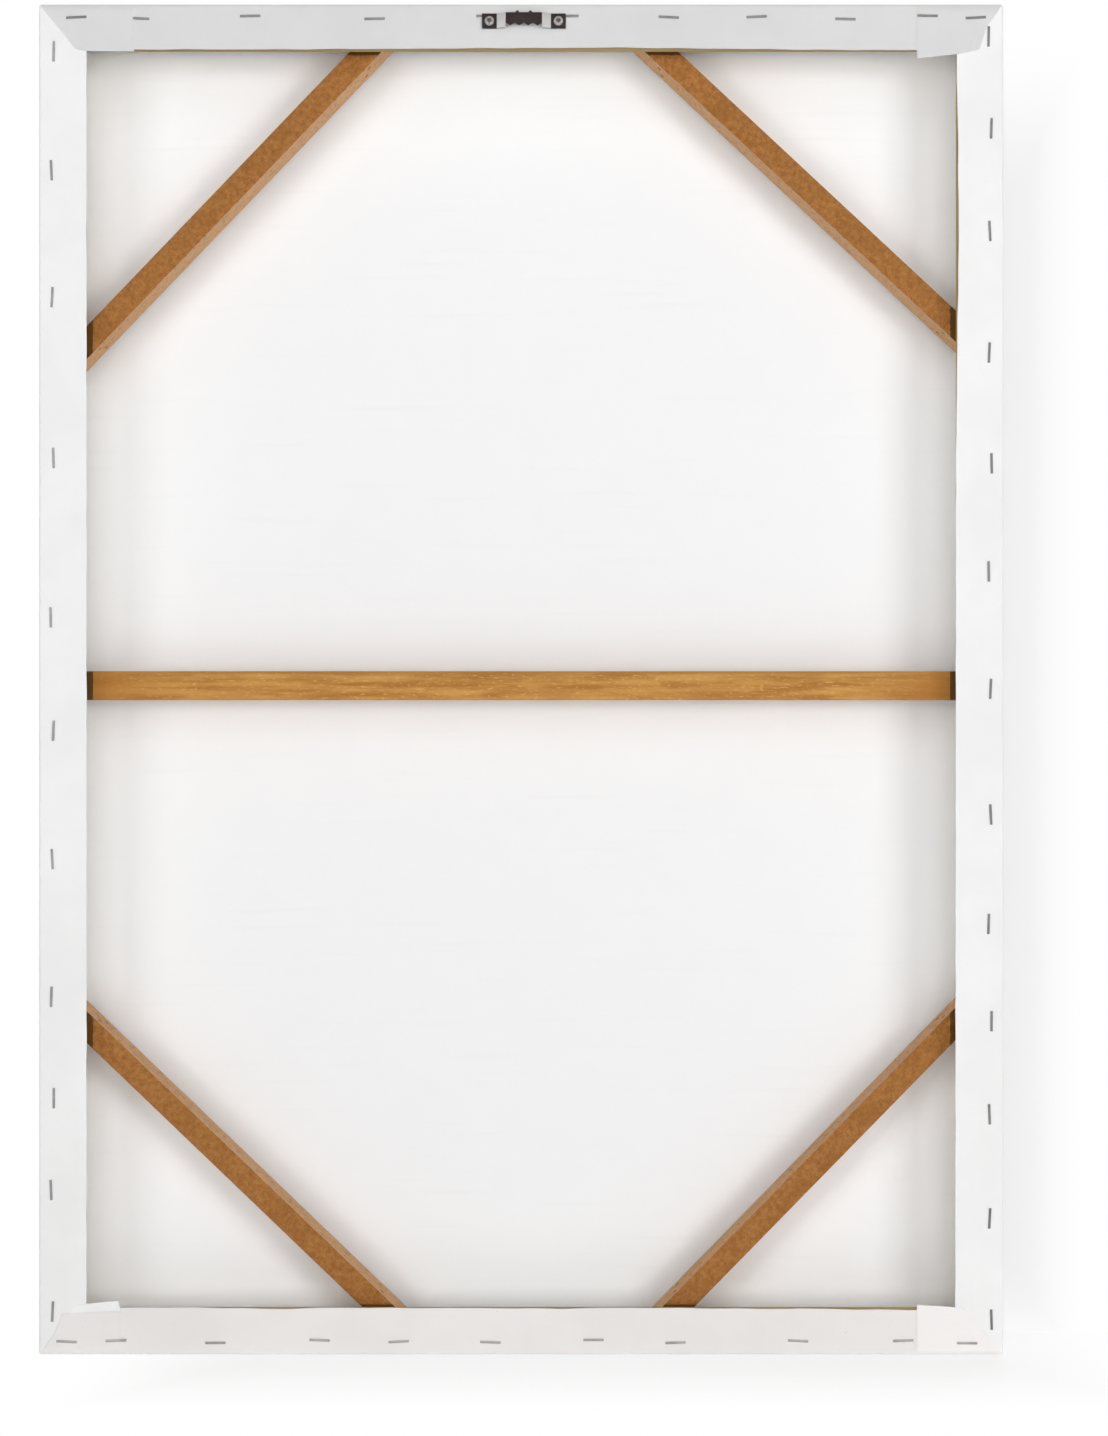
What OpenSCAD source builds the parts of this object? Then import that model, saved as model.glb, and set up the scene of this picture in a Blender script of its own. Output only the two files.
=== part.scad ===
// Stretched canvas for painting: a mitred frame of deep stretcher bars with four
// corner braces and a cross brace, one sheet of primed cloth wrapped round it and
// stapled on the back, and a sawtooth hanger on the top bar.
// Millimetres. +Z is up, +Y is out of the painting face, and the back faces -Y.
// The origin is the middle of the bottom edge, at half the depth.

/* [Overall] */
// Width over the cloth
overall_w = 500; // [420:10:800]
// Height over the cloth
overall_h = 700; // [520:10:1000]

/* [Stretcher bars] */
// Width of a bar, seen from the back
bar_w = 24; // [20:0.5:36]
// Width of a bar at its front, where its slanting inner face ends
bar_front_w = 13.5; // [11:0.5:20]
// Depth of a bar, back to front
bar_d = 38; // [32:1:50]
// Width of the lip at the front outer edge, the only part that touches the cloth
lip_w = 5; // [3:0.5:8]
// Fall of the bevelled front face from the lip to the slanting inner face
bevel = 3; // [1:0.5:5]

/* [Braces] */
// Thickness of a corner brace, seen from the back
brace_w = 12; // [8:0.5:16]
// Width of the cross brace, seen from the back
cross_w = 15; // [10:0.5:25]
// Depth of the braces, back to front
brace_d = 18; // [14:1:20]
// Distance of the braces below the back face of the bars
brace_drop = 12.5; // [11:0.5:14]
// Distance from the inner corner to where a corner brace meets a bar
brace_leg = 143; // [110:1:175]
// Height of the cross brace's centre above the middle of the frame
cross_rise = -3; // [-40:1:40]
// Depth of the housings in the bars that seat the ends of the braces
housing = 0.5; // [0.3:0.1:2]

/* [Cloth] */
// Thickness of the primed cloth
cloth_t = 0.6; // [0.4:0.1:1]
// Width of bare bar left beside the cut edge of the cloth
bare_edge = 0.5; // [0.2:0.1:4]

/* [Staples] */
// Width of a staple over its crown
crown = 10.6; // [8:0.2:13]
// Width of the staple wire
wire_w = 1.25; // [0.8:0.05:1.6]
// Thickness of the staple wire
wire_t = 0.5; // [0.4:0.05:0.8]
// Length of a staple leg below the cloth's face
leg = 8; // [5:0.5:9]
// Distance of the staple rows from the outer edge of the cloth
staple_inset = 7; // [5:0.5:9]

/* [Brads and nails] */
// Diameter of a brad's shank
brad_dia = 1.2; // [0.8:0.1:1.6]
// Length of a brad
brad_len = 20; // [15:1:24]
// Distance of an end's first brad inside the bar's inner edge, seen from the back
brad_in = 3.5; // [3:0.5:6]
// Diameter of a cross brace nail's shank
nail_dia = 1.8; // [1.4:0.1:2.5]
// Length of a cross brace nail
nail_len = 45; // [38:1:60]
// Depth of a V nail
vnail_d = 10; // [7:1:12]

/* [Hanger] */
// Length of the hanger over its two pads
hanger_len = 43.4; // [38:0.2:60]
// Height of the hanger's pads
hanger_h = 7.7; // [6:0.1:9]
// Distance of the hanger's centre below the top edge
hanger_drop = 9.1; // [8.5:0.1:14]
// Offset of the hanger from the middle of the top bar
hanger_shift = 1.4; // [-5:0.1:5]
// Thickness of the hanger's sheet metal
hanger_t = 0.8; // [0.5:0.1:1.2]
// Rise of the toothed bar above the pads
hanger_rise = 2.2; // [1.5:0.1:3]
// Pitch of the teeth
tooth_pitch = 4.7; // [3.8:0.1:5]
// Depth of the notches between the teeth
tooth_d = 1.4; // [1:0.1:2]
// Diameter of a hanger screw's head
screw_head = 5; // [4:0.2:6.2]
// Diameter of a hanger screw's shank
screw_dia = 2.2; // [1.6:0.1:2.6]
// Length of a hanger screw under its head
screw_len = 12; // [8:1:16]

/* [Hidden] */
$fn = 48;

fit = 0.02;                        // gap all round a driven shank, leg or V nail
past = 1;                          // how far a cutting tool runs past a face
half_d = bar_d / 2 + cloth_t;      // back face of the cloth from the mid depth
back = -bar_d / 2;                 // back face of the bars
frame_w = overall_w - 2 * cloth_t; // over the bars
frame_h = overall_h - 2 * cloth_t;
in_x = frame_w / 2 - bar_w;        // inner edge of a side bar, at the back
in_z0 = cloth_t + bar_w;           // inner edge of the bottom bar, at the back
in_z1 = overall_h - in_z0;         // inner edge of the top bar, at the back
slant = (bar_w - bar_front_w) / (bar_d - bevel); // of the bars' inner faces
brace_y0 = back + brace_drop;      // back face of the braces
brace_y1 = brace_y0 + brace_d;     // front face of the braces
cross_z = overall_h / 2 + cross_rise;

// Sides in the order bottom, left, top, right. A side's own frame has x along it,
// y as the object's and z inwards from the cloth's outer face.
side_len = [overall_w, overall_h, overall_w, overall_h];
side_turn = [0, 90, 180, -90];
side_mid = [
    [0, 0, 0], [-overall_w / 2, 0, overall_h / 2],
    [0, 0, overall_h], [overall_w / 2, 0, overall_h / 2]
];
// Corners in the order bottom left, top left, top right, bottom right, as the
// signs of x and z.
corner = [[-1, -1], [-1, 1], [1, 1], [1, -1]];
// How far each brace was nailed off its mark, along the level bar and the upright.
brace_off = [[4, -2], [-3, 3], [5, -5], [-3, 0]];

// Where each staple sits along its side, as a share of the side's length. Two more
// staples on the top bar lie under the hanger's pads.
staple_at = [
    [0.029, 0.08, 0.183, 0.291, 0.373, 0.468, 0.575, 0.66, 0.787, 0.896, 0.962],
    [0.035, 0.123, 0.217, 0.336, 0.454, 0.538, 0.633, 0.735, 0.81, 0.878, 0.968],
    [0.029, 0.079, 0.164, 0.256, 0.347, 0.652, 0.781, 0.896, 0.961],
    [0.026, 0.101, 0.178, 0.247, 0.319, 0.4, 0.493, 0.58, 0.66, 0.742, 0.832, 0.908, 0.976]
];
// Unevenness of hand stapling: a repeatable number from -1 to 1 for staple i of a side.
function uneven(side, i) = sin(137 * i + 80 * side);
staple_wander = 0.8; // most that a staple strays across the row
staple_tilt = 3;     // most that a staple turns

brad_head = [0.95, 0.6];  // radius and thickness
brad_sink = 0.8;          // a brad's head below the brace's face
brad_share = [0.3, 0.7];  // the two brads of an end, as shares of the brace's depth
brad_step = 2;            // the second brad stands this much further inside
nail_head = [2, 0.8];     // radius and thickness
nail_share = [0.3, 0.7];

vnail_arm = 3.5;          // reach of a V nail's arm, across the mitre and along it
vnail_t = 0.6;
vnail_deep = 11;          // V nails start this far below the back face
vnail_at = [0.36, 0.7];   // along the mitre, as shares of its length

teeth = 4;
hanger_mid = teeth * tooth_pitch;
hanger_pad = hanger_h;
hanger_z = overall_h - hanger_drop;
// The two staples under the pads: their centres' distances beyond the hanger's ends, at
// the left, where it is inside the end, and at the right, in the top side's own frame.
pad_reach = [-2.3, 1.4];
pad_staples = [
    hanger_len / 2 + pad_reach[0] - hanger_shift,
    -hanger_len / 2 - pad_reach[1] - hanger_shift
];
hanger_seat = -half_d - wire_t; // the pads lie on the crowns of the staples under them
tooth_lift = 1;           // teeth end this much above the pads' lower edge
tab_r = 0.9;              // two round tabs on the toothed bar's upper edge
tab_x = 3.4;
screw_rise = 1.5;         // height of the screw's domed head
screw_hole = 0.2;         // clearance round the screw in the pad
recess = [0.7, 2.8, 0.9]; // cross recess: slot width, slot length and depth
hanger_screw_x = (hanger_len - hanger_pad) / 2;

// ---- shared tools ----

// Extrudes a shape drawn in x and z from depth y0 to depth y1.
module across_depth(y0, y1) {
    translate([0, y1, 0]) rotate([90, 0, 0]) linear_extrude(y1 - y0) children();
}

// Places children, drawn in a side's own frame, on that side.
module on_side(side) {
    translate(side_mid[side]) rotate([0, side_turn[side], 0]) children();
}

// Extrudes a shape drawn in y and z along x, over a length centred on the origin.
module across_width(length) {
    rotate([90, 0, 90]) linear_extrude(length, center = true) children();
}

// A box from one corner point to the opposite one.
module box(a, b) {
    translate(a) cube(b - a);
}

// The hollow of the frame from depth y0 to y1, cut extra deep into the bars. It
// widens towards the front with the bars' slanting inner faces.
module hollow(y0, y1, extra) {
    g0 = slant * (y0 - back) + extra;
    g1 = slant * (y1 - back) + extra;
    intersection() {
        linear_extrude(overall_h)
            polygon([[-in_x - g0, y0], [in_x + g0, y0], [in_x + g1, y1], [-in_x - g1, y1]]);
        across_width(overall_w)
            polygon([[y0, in_z0 - g0], [y1, in_z0 - g1], [y1, in_z1 + g1], [y0, in_z1 + g0]]);
    }
}

// ---- stretcher bars ----

// The bar's section: widest at the back, with an inner face that slants outwards to
// the front and a front face that falls away behind the lip.
module bar_section() {
    polygon([
        [back, cloth_t], [-back, cloth_t], [-back, cloth_t + lip_w],
        [-back - bevel, cloth_t + bar_front_w], [back, cloth_t + bar_w]
    ]);
}

module mitred_bar(side) {
    long = side_len[side] / 2 - cloth_t;
    intersection() {
        across_width(2 * long) bar_section();
        across_depth(back - past, -back + past)
            polygon([
                [-long, cloth_t], [long, cloth_t],
                [long - bar_w, cloth_t + bar_w], [-long + bar_w, cloth_t + bar_w]
            ]);
    }
}

// Everything that a bar is cut for: housings, brads, nails, staple legs and screws.
module bar(side) {
    color("burlywood") difference() {
        on_side(side) mitred_bar(side);
        for (c = [0:3]) {
            corner_brace_stock(c, -back + past);
            brads(c, fit);
            v_nails(c, fit);
        }
        cross_brace_stock(-back + past);
        for (s = [-1, 1]) cross_brace_nails(s, fit);
        on_side(side) staple_legs(side, fit);
        for (s = [-1, 1]) screw_shank(s, fit);
    }
}

// A V nail straddles the mitre with an arm in each bar.
module v_nails(c, grow = 0) {
    sign = corner[c];
    outer = [sign.x * frame_w / 2, overall_h / 2 + sign.y * frame_h / 2];
    for (share = vnail_at) {
        p = outer - sign * bar_w * share;
        translate([p.x, 0, p.y]) scale([sign.x, 1, sign.y]) rotate([0, -45, 0])
            across_depth(back + vnail_deep - grow, back + vnail_deep + vnail_d + grow)
                polygon([
                    [grow, 0], [-vnail_arm + grow, vnail_arm + grow],
                    [-vnail_arm - vnail_t - grow, vnail_arm + grow], [-vnail_t - grow, 0],
                    [-vnail_arm - vnail_t - grow, -vnail_arm - grow],
                    [-vnail_arm + grow, -vnail_arm - grow]
                ]);
    }
}

// ---- braces ----

// Ends of a corner brace's centre line at the bars' inner edges: on the upright bar,
// then on the level bar.
function brace_ends(c) = let (
    inner = [corner[c].x * in_x, corner[c].y > 0 ? in_z1 : in_z0]
) [
    inner - [0, corner[c].y * (brace_leg + brace_off[c].y)],
    inner - [corner[c].x * (brace_leg + brace_off[c].x), 0]
];

// Brace stock from the braces' back face to depth y1, cut to the hollow and the
// housings. The housings run out to the front, where the braces go in.
module corner_brace_stock(c, y1) {
    ends = brace_ends(c);
    along = (ends[1] - ends[0]) / norm(ends[1] - ends[0]);
    side = [-along.y, along.x] * brace_w / 2;
    spare = along * (brace_w + bar_w);
    intersection() {
        across_depth(brace_y0, y1)
            polygon([
                ends[0] - spare - side, ends[1] + spare - side,
                ends[1] + spare + side, ends[0] - spare + side
            ]);
        hollow(brace_y0, y1, housing);
    }
}

module corner_brace(c) {
    color("peru") difference() {
        corner_brace_stock(c, brace_y1);
        brads(c, fit, true);
    }
}

module cross_brace_stock(y1) {
    intersection() {
        box([-frame_w / 2, brace_y0, cross_z - cross_w / 2],
            [frame_w / 2, y1, cross_z + cross_w / 2]);
        hollow(brace_y0, y1, housing);
    }
}

module cross_brace() {
    color("goldenrod") difference() {
        cross_brace_stock(brace_y1);
        for (s = [-1, 1]) cross_brace_nails(s, fit);
    }
}

// ---- brads and nails ----

// A pin with a head, driven along +z from its head at the origin.
module headed_pin(dia, length, head, grow) {
    translate([0, 0, -grow]) cylinder(r = head[0] + grow, h = head[1] + 2 * grow);
    cylinder(d = dia + 2 * grow, h = length + grow);
}

// The four brads of a corner brace, two an end, driven square to the bar through the
// brace's slanting inner side. With open set, the holes over their sunk heads are added.
module brads(c, grow = 0, open = false) {
    ends = brace_ends(c);
    along = (ends[1] - ends[0]) / norm(ends[1] - ends[0]);
    for (e = [0, 1], b = [0, 1]) {
        // e is 0 at the upright bar and 1 at the level one
        out = e == 0 ? [corner[c].x, 0] : [0, corner[c].y];
        cut = e == 0 ? [0, corner[c].y] : [corner[c].x, 0];
        inside = brad_in + b * brad_step;
        steep = e == 0 ? abs(along.y / along.x) : abs(along.x / along.y);
        // on the brace's inner side, at this distance inside the bar's edge
        slope_len = brace_w / 2 / (e == 0 ? abs(along.x) : abs(along.y));
        face = ends[e] - out * inside + cut * (inside * steep - slope_len);
        start = face + out * brad_sink;
        y = brace_y0 + brad_share[b] * brace_d;
        translate([start.x, y, start.y]) rotate([0, atan2(out.x, out.y), 0]) {
            headed_pin(brad_dia, brad_len, brad_head, grow);
            if (open) translate([0, 0, -brad_sink - past])
                cylinder(r = brad_head[0] + grow, h = brad_sink + past);
        }
    }
}

// The two nails through a side bar into the end of the cross brace, s = -1 for left.
module cross_brace_nails(s, grow = 0) {
    for (share = nail_share)
        translate([s * frame_w / 2, brace_y0 + share * brace_d, cross_z])
            rotate([0, -s * 90, 0]) headed_pin(nail_dia, nail_len, nail_head, grow);
}

// ---- cloth ----

module canvas_sheet() {
    color("white") difference() {
        box([-overall_w / 2, -half_d, 0], [overall_w / 2, half_d, overall_h]);
        box([-frame_w / 2, back, cloth_t], [frame_w / 2, -back, overall_h - cloth_t]);
        box([-in_x - bare_edge, -half_d - past, in_z0 - bare_edge],
            [in_x + bare_edge, 0, in_z1 + bare_edge]);
        for (side = [0:3]) on_side(side) staple_legs(side, fit);
        for (s = [-1, 1]) screw_shank(s, fit);
    }
}

// ---- staples ----

module staple_places(side) {
    row = [for (share = staple_at[side]) (share - 0.5) * side_len[side]];
    for (i = [0:len(row) - 1])
        translate([row[i], 0, staple_inset + staple_wander * uneven(side, i)])
            rotate([0, staple_tilt * uneven(side + 1, i), 0]) children();
    // those under the pads keep clear of the hanger's screws
    if (side == 2) for (x = pad_staples)
        translate([x, 0, staple_inset - staple_wander]) children();
}

module staple_legs(side, grow = 0) {
    staple_places(side) for (s = [-1, 1])
        box([s * (crown - wire_t) / 2 - wire_t / 2 - grow, -half_d - grow, -wire_w / 2 - grow],
            [s * (crown - wire_t) / 2 + wire_t / 2 + grow, -half_d + leg + grow,
             wire_w / 2 + grow]);
}

module staples(side) {
    color("silver") on_side(side) staple_places(side) {
        translate([0, 0, -wire_w / 2]) linear_extrude(wire_w)
            polygon([
                [-crown / 2, -half_d - wire_t], [crown / 2, -half_d - wire_t],
                [crown / 2, -half_d + leg], [crown / 2 - wire_t, -half_d + leg],
                [crown / 2 - wire_t, -half_d], [-crown / 2 + wire_t, -half_d],
                [-crown / 2 + wire_t, -half_d + leg], [-crown / 2, -half_d + leg]
            ]);
    }
}

// ---- hanger ----

module at_hanger() {
    translate([hanger_shift, hanger_seat, hanger_z]) children();
}

// The hanger's sheet, seen from above: pad, ramp, toothed bar, ramp and pad.
module hanger_strip() {
    edge = hanger_len / 2;
    path = [
        [-edge, 0], [-edge + hanger_pad, 0], [-hanger_mid / 2, -hanger_rise],
        [hanger_mid / 2, -hanger_rise], [edge - hanger_pad, 0], [edge, 0]
    ];
    linear_extrude(hanger_h, center = true)
        polygon([
            for (p = path) p,
            for (i = [len(path) - 1:-1:0]) path[i] - [0, hanger_t]
        ]);
}

// What is cut away under the toothed bar: a step with a notch between each two teeth.
module tooth_gaps() {
    low = -hanger_h / 2;
    across_depth(-hanger_rise - hanger_t - past, -hanger_rise + past)
        polygon([
            [-hanger_mid / 2, low - past],
            for (i = [0:teeth]) each [
                [-hanger_mid / 2 + i * tooth_pitch, low + tooth_lift + tooth_d],
                if (i < teeth) [-hanger_mid / 2 + (i + 0.5) * tooth_pitch, low + tooth_lift]
            ],
            [hanger_mid / 2, low - past]
        ]);
}

module sawtooth_hanger() {
    color([0.1, 0.1, 0.11]) at_hanger() {
        difference() {
            hanger_strip();
            tooth_gaps();
            for (s = [-1, 1]) translate([s * hanger_screw_x, past, 0]) rotate([90, 0, 0])
                cylinder(d = screw_dia + 2 * screw_hole, h = hanger_t + 2 * past);
        }
        for (s = [-1, 1])
            translate([s * tab_x, -hanger_rise, hanger_h / 2]) rotate([90, 0, 0])
                cylinder(r = tab_r, h = hanger_t);
    }
}

// A screw's shank with its point, from under the head into the bar.
module screw_shank(s, grow = 0) {
    tip = screw_dia;
    at_hanger() translate([s * hanger_screw_x, -hanger_t, 0]) rotate([-90, 0, 0]) {
        cylinder(d = screw_dia + 2 * grow, h = screw_len - tip);
        translate([0, 0, screw_len - tip])
            cylinder(d1 = screw_dia + 2 * grow, d2 = 0.4 + 2 * grow, h = tip + grow);
    }
}

module hanger_screw(s) {
    dome = (pow(screw_head / 2, 2) + pow(screw_rise, 2)) / (2 * screw_rise);
    color("lightgray") {
        screw_shank(s);
        at_hanger() translate([s * hanger_screw_x, -hanger_t, 0]) difference() {
            intersection() {
                rotate([90, 0, 0]) cylinder(d = screw_head, h = screw_rise);
                translate([0, dome - screw_rise, 0]) sphere(dome);
            }
            for (turn = [0, 90]) translate([0, -screw_rise, 0]) rotate([0, turn, 0])
                cube([recess[0], 2 * recess[2], recess[1]], center = true);
        }
    }
}

bar(0);  // stretcher_bar_bottom
bar(1);  // stretcher_bar_left
bar(2);  // stretcher_bar_top
bar(3);  // stretcher_bar_right
color("gray") v_nails(0);  // v_nails_bottom_left
color("gray") v_nails(1);  // v_nails_top_left
color("gray") v_nails(2);  // v_nails_top_right
color("gray") v_nails(3);  // v_nails_bottom_right
corner_brace(0);  // corner_brace_bottom_left
corner_brace(1);  // corner_brace_top_left
corner_brace(2);  // corner_brace_top_right
corner_brace(3);  // corner_brace_bottom_right
color("dimgray") brads(0);  // brads_bottom_left
color("dimgray") brads(1);  // brads_top_left
color("dimgray") brads(2);  // brads_top_right
color("dimgray") brads(3);  // brads_bottom_right
cross_brace();
color("gray") cross_brace_nails(-1);  // cross_brace_nails_left
color("gray") cross_brace_nails(1);  // cross_brace_nails_right
canvas_sheet();
staples(0);  // staples_bottom
staples(1);  // staples_left
staples(2);  // staples_top
staples(3);  // staples_right
sawtooth_hanger();
hanger_screw(-1);  // hanger_screw_left
hanger_screw(1);  // hanger_screw_right
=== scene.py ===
"""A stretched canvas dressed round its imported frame: cloth, staples, bars, braces and hanger."""

import logging
import math
from dataclasses import dataclass
from enum import Enum
from typing import Any, Callable, Sequence

import bpy
import bmesh
import numpy as np
from mathutils import Matrix, Vector


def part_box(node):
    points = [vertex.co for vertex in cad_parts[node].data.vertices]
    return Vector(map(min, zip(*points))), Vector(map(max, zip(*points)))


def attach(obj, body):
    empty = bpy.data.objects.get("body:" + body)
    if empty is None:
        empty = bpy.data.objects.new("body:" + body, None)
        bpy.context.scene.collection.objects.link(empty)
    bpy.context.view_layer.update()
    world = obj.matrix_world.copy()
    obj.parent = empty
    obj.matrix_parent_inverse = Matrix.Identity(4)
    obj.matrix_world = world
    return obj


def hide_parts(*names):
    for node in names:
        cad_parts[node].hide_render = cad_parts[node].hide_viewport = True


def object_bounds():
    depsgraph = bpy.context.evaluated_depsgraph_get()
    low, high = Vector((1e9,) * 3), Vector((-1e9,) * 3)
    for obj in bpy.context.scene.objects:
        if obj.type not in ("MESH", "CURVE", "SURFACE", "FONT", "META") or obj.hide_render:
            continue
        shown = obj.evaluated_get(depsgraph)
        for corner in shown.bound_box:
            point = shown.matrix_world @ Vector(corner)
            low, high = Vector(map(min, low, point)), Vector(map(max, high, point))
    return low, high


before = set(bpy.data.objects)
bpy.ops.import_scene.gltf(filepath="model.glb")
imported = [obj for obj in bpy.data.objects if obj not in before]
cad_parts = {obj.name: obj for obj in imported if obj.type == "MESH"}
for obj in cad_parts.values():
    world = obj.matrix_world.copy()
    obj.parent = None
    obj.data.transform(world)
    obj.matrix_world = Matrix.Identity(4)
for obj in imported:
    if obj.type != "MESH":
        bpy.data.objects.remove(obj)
CAD_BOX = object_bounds()

log = logging.getLogger("stretched_canvas")
MM = 0.001
BODY = "root"
FLAP_REACH = 24.6 * MM
Colour = tuple[float, float, float, float]
Points = tuple[tuple[float, float], ...]


# ---- shader tools ----


def paint(red: float, green: float, blue: float) -> Colour:
    """Turns a display colour into the linear colour that shaders take.

    Args:
        red: Red from 0 to 255.
        green: Green from 0 to 255.
        blue: Blue from 0 to 255.

    Returns:
        The linear colour, with full alpha.
    """
    def linear(level: float) -> float:
        """Returns one display level as a linear share."""
        share = level / 255
        return share / 12.92 if share <= 0.04045 else ((share + 0.055) / 1.055) ** 2.4

    return (linear(red), linear(green), linear(blue), 1.0)


def dimmed(colour: Colour, share: float) -> Colour:
    """Returns a colour times a share, with full alpha."""
    return tuple(level * share for level in colour[:3]) + (1.0,)


class Signal:
    """A shader socket that takes part in Python arithmetic."""

    def __init__(self, tree: "ShaderTree", socket: bpy.types.NodeSocket) -> None:
        """Wraps an output socket of a tree."""
        self.tree = tree
        self.socket = socket

    def _math(self, operation: str, *values: Any) -> "Signal":
        """Returns the result of a Math node on numbers or signals."""
        inputs = dict(enumerate(values))
        return self.tree.signal("ShaderNodeMath", {"operation": operation}, inputs)

    def __add__(self, other: Any) -> "Signal":
        """Returns the sum."""
        return self._math("ADD", self, other)

    def __radd__(self, other: Any) -> "Signal":
        """Returns the sum, from the right."""
        return self._math("ADD", other, self)

    def __sub__(self, other: Any) -> "Signal":
        """Returns the difference."""
        return self._math("SUBTRACT", self, other)

    def __rsub__(self, other: Any) -> "Signal":
        """Returns the difference, from the right."""
        return self._math("SUBTRACT", other, self)

    def __mul__(self, other: Any) -> "Signal":
        """Returns the product."""
        return self._math("MULTIPLY", self, other)

    def __rmul__(self, other: Any) -> "Signal":
        """Returns the product, from the right."""
        return self._math("MULTIPLY", other, self)

    def sine(self) -> "Signal":
        """Returns the sine of an angle in radians."""
        return self._math("SINE", self)

    def size(self) -> "Signal":
        """Returns the value without its sign."""
        return self._math("ABSOLUTE", self)

    def least(self, other: Any) -> "Signal":
        """Returns the smaller of two values."""
        return self._math("MINIMUM", self, other)

    def most(self, other: Any) -> "Signal":
        """Returns the larger of two values."""
        return self._math("MAXIMUM", self, other)

    def ramp(self, low: float, high: float) -> "Signal":
        """Returns a smooth step, 0 at low and 1 at high, which may lie below low."""
        sockets = {"Value": self, "From Min": low, "From Max": high}
        return self.tree.signal("ShaderNodeMapRange", {"interpolation_type": "SMOOTHSTEP"}, sockets)


class ShaderTree:
    """The node tree of one material or of the world, written as expressions."""

    def __init__(self, owner: bpy.types.ID) -> None:
        """Empties the tree of a new material or world."""
        self.owner = owner
        owner.use_nodes = True
        owner.node_tree.nodes.clear()

    def node(
        self, kind: str, settings: dict[str, Any] | None = None,
        sockets: dict[Any, Any] | None = None,
    ) -> bpy.types.Node:
        """Adds a node.

        Args:
            kind: The node's type.
            settings: Its properties, which are set first.
            sockets: Values or links of its inputs, by name or number.

        Returns:
            The node.
        """
        made = self.owner.node_tree.nodes.new(kind)
        for name, value in (settings or {}).items():
            setattr(made, name, value)
        for key, value in (sockets or {}).items():
            if isinstance(value, Signal):
                self.owner.node_tree.links.new(value.socket, made.inputs[key])
            else:
                made.inputs[key].default_value = value
        return made

    def signal(
        self, kind: str, settings: dict[str, Any] | None = None,
        sockets: dict[Any, Any] | None = None, output: Any = 0,
    ) -> Signal:
        """Adds a node and returns the output of that name or number."""
        return Signal(self, self.node(kind, settings, sockets).outputs[output])

    def place(self) -> Signal:
        """Returns the Object coordinates."""
        return self.signal("ShaderNodeTexCoord", output="Object")

    def axes(self, vector: Signal) -> tuple[Signal, Signal, Signal]:
        """Returns the three parts of a vector."""
        made = self.node("ShaderNodeSeparateXYZ", sockets={0: vector})
        return tuple(Signal(self, made.outputs[i]) for i in range(3))

    def stretched(self, vector: Signal, scale: Sequence[float]) -> Signal:
        """Returns a vector with each axis times its own factor."""
        sockets = {0: vector, 1: tuple(scale)}
        return self.signal("ShaderNodeVectorMath", {"operation": "MULTIPLY"}, sockets)

    def noise(self, vector: Signal, scale: float, detail: float = 2, rough: float = 0.5) -> Signal:
        """Returns noise round 0.5 with so many features in a metre and so many finer layers."""
        sockets = {"Vector": vector, "Scale": scale, "Detail": detail, "Roughness": rough}
        return self.signal("ShaderNodeTexNoise", sockets=sockets)

    def mix(self, share: Any, first: Any, second: Any, blend: str = "MIX") -> Signal:
        """Returns two colours blended, with a share of the second."""
        settings = {"data_type": "RGBA", "blend_type": blend}
        return self.signal("ShaderNodeMix", settings, {0: share, 6: first, 7: second}, output=2)

    def bump(self, height: Signal, relief: float, strength: float = 1.0) -> Signal:
        """Returns the normal of a height pattern that is relief metres deep."""
        sockets = {"Height": height, "Distance": relief, "Strength": strength}
        return self.signal("ShaderNodeBump", sockets=sockets, output="Normal")

    def facing_back(self) -> Signal:
        """Returns 1 on faces towards the object's back and 0 on the others."""
        facing = self.axes(self.signal("ShaderNodeNewGeometry", output="Normal"))[1]
        return facing.ramp(-0.55, -0.8)

    def weave(self, flat: Signal, pitch: float) -> Signal:
        """Returns the height, from -1 to 1, of threads a pitch apart on flat coordinates."""
        warp, weft = ((part * (math.pi / pitch)).sine() for part in self.axes(flat)[:2])
        return warp * weft

    def seen(self) -> Signal:
        """Returns 1 for what the camera sees straight, in gloss or through glass, and else 0."""
        path = self.node("ShaderNodeLightPath")
        kinds = ("Is Camera Ray", "Is Glossy Ray", "Is Transmission Ray")
        straight, gloss, glass = (Signal(self, path.outputs[kind]) for kind in kinds)
        return straight.most(gloss).most(glass)

    def surface(self, **sockets: Any) -> bpy.types.Material:
        """Ends the tree with a Principled shader, given its inputs with underscores for spaces."""
        named = {key.replace("_", " "): value for key, value in sockets.items()}
        return self.end(self.signal("ShaderNodeBsdfPrincipled", sockets=named))

    def end(self, shader: Signal, output: str = "Material") -> bpy.types.ID:
        """Links a shader to the output, and returns the material or world."""
        self.node("ShaderNodeOutput" + output, sockets={"Surface": shader})
        return self.owner


# ---- finishes ----


@dataclass(frozen=True)
class Finish:
    """A finish, which is named as its material is."""

    name: str

    def tree(self) -> ShaderTree:
        """Returns the empty tree of a new material."""
        return ShaderTree(bpy.data.materials.new(self.name))


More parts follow.
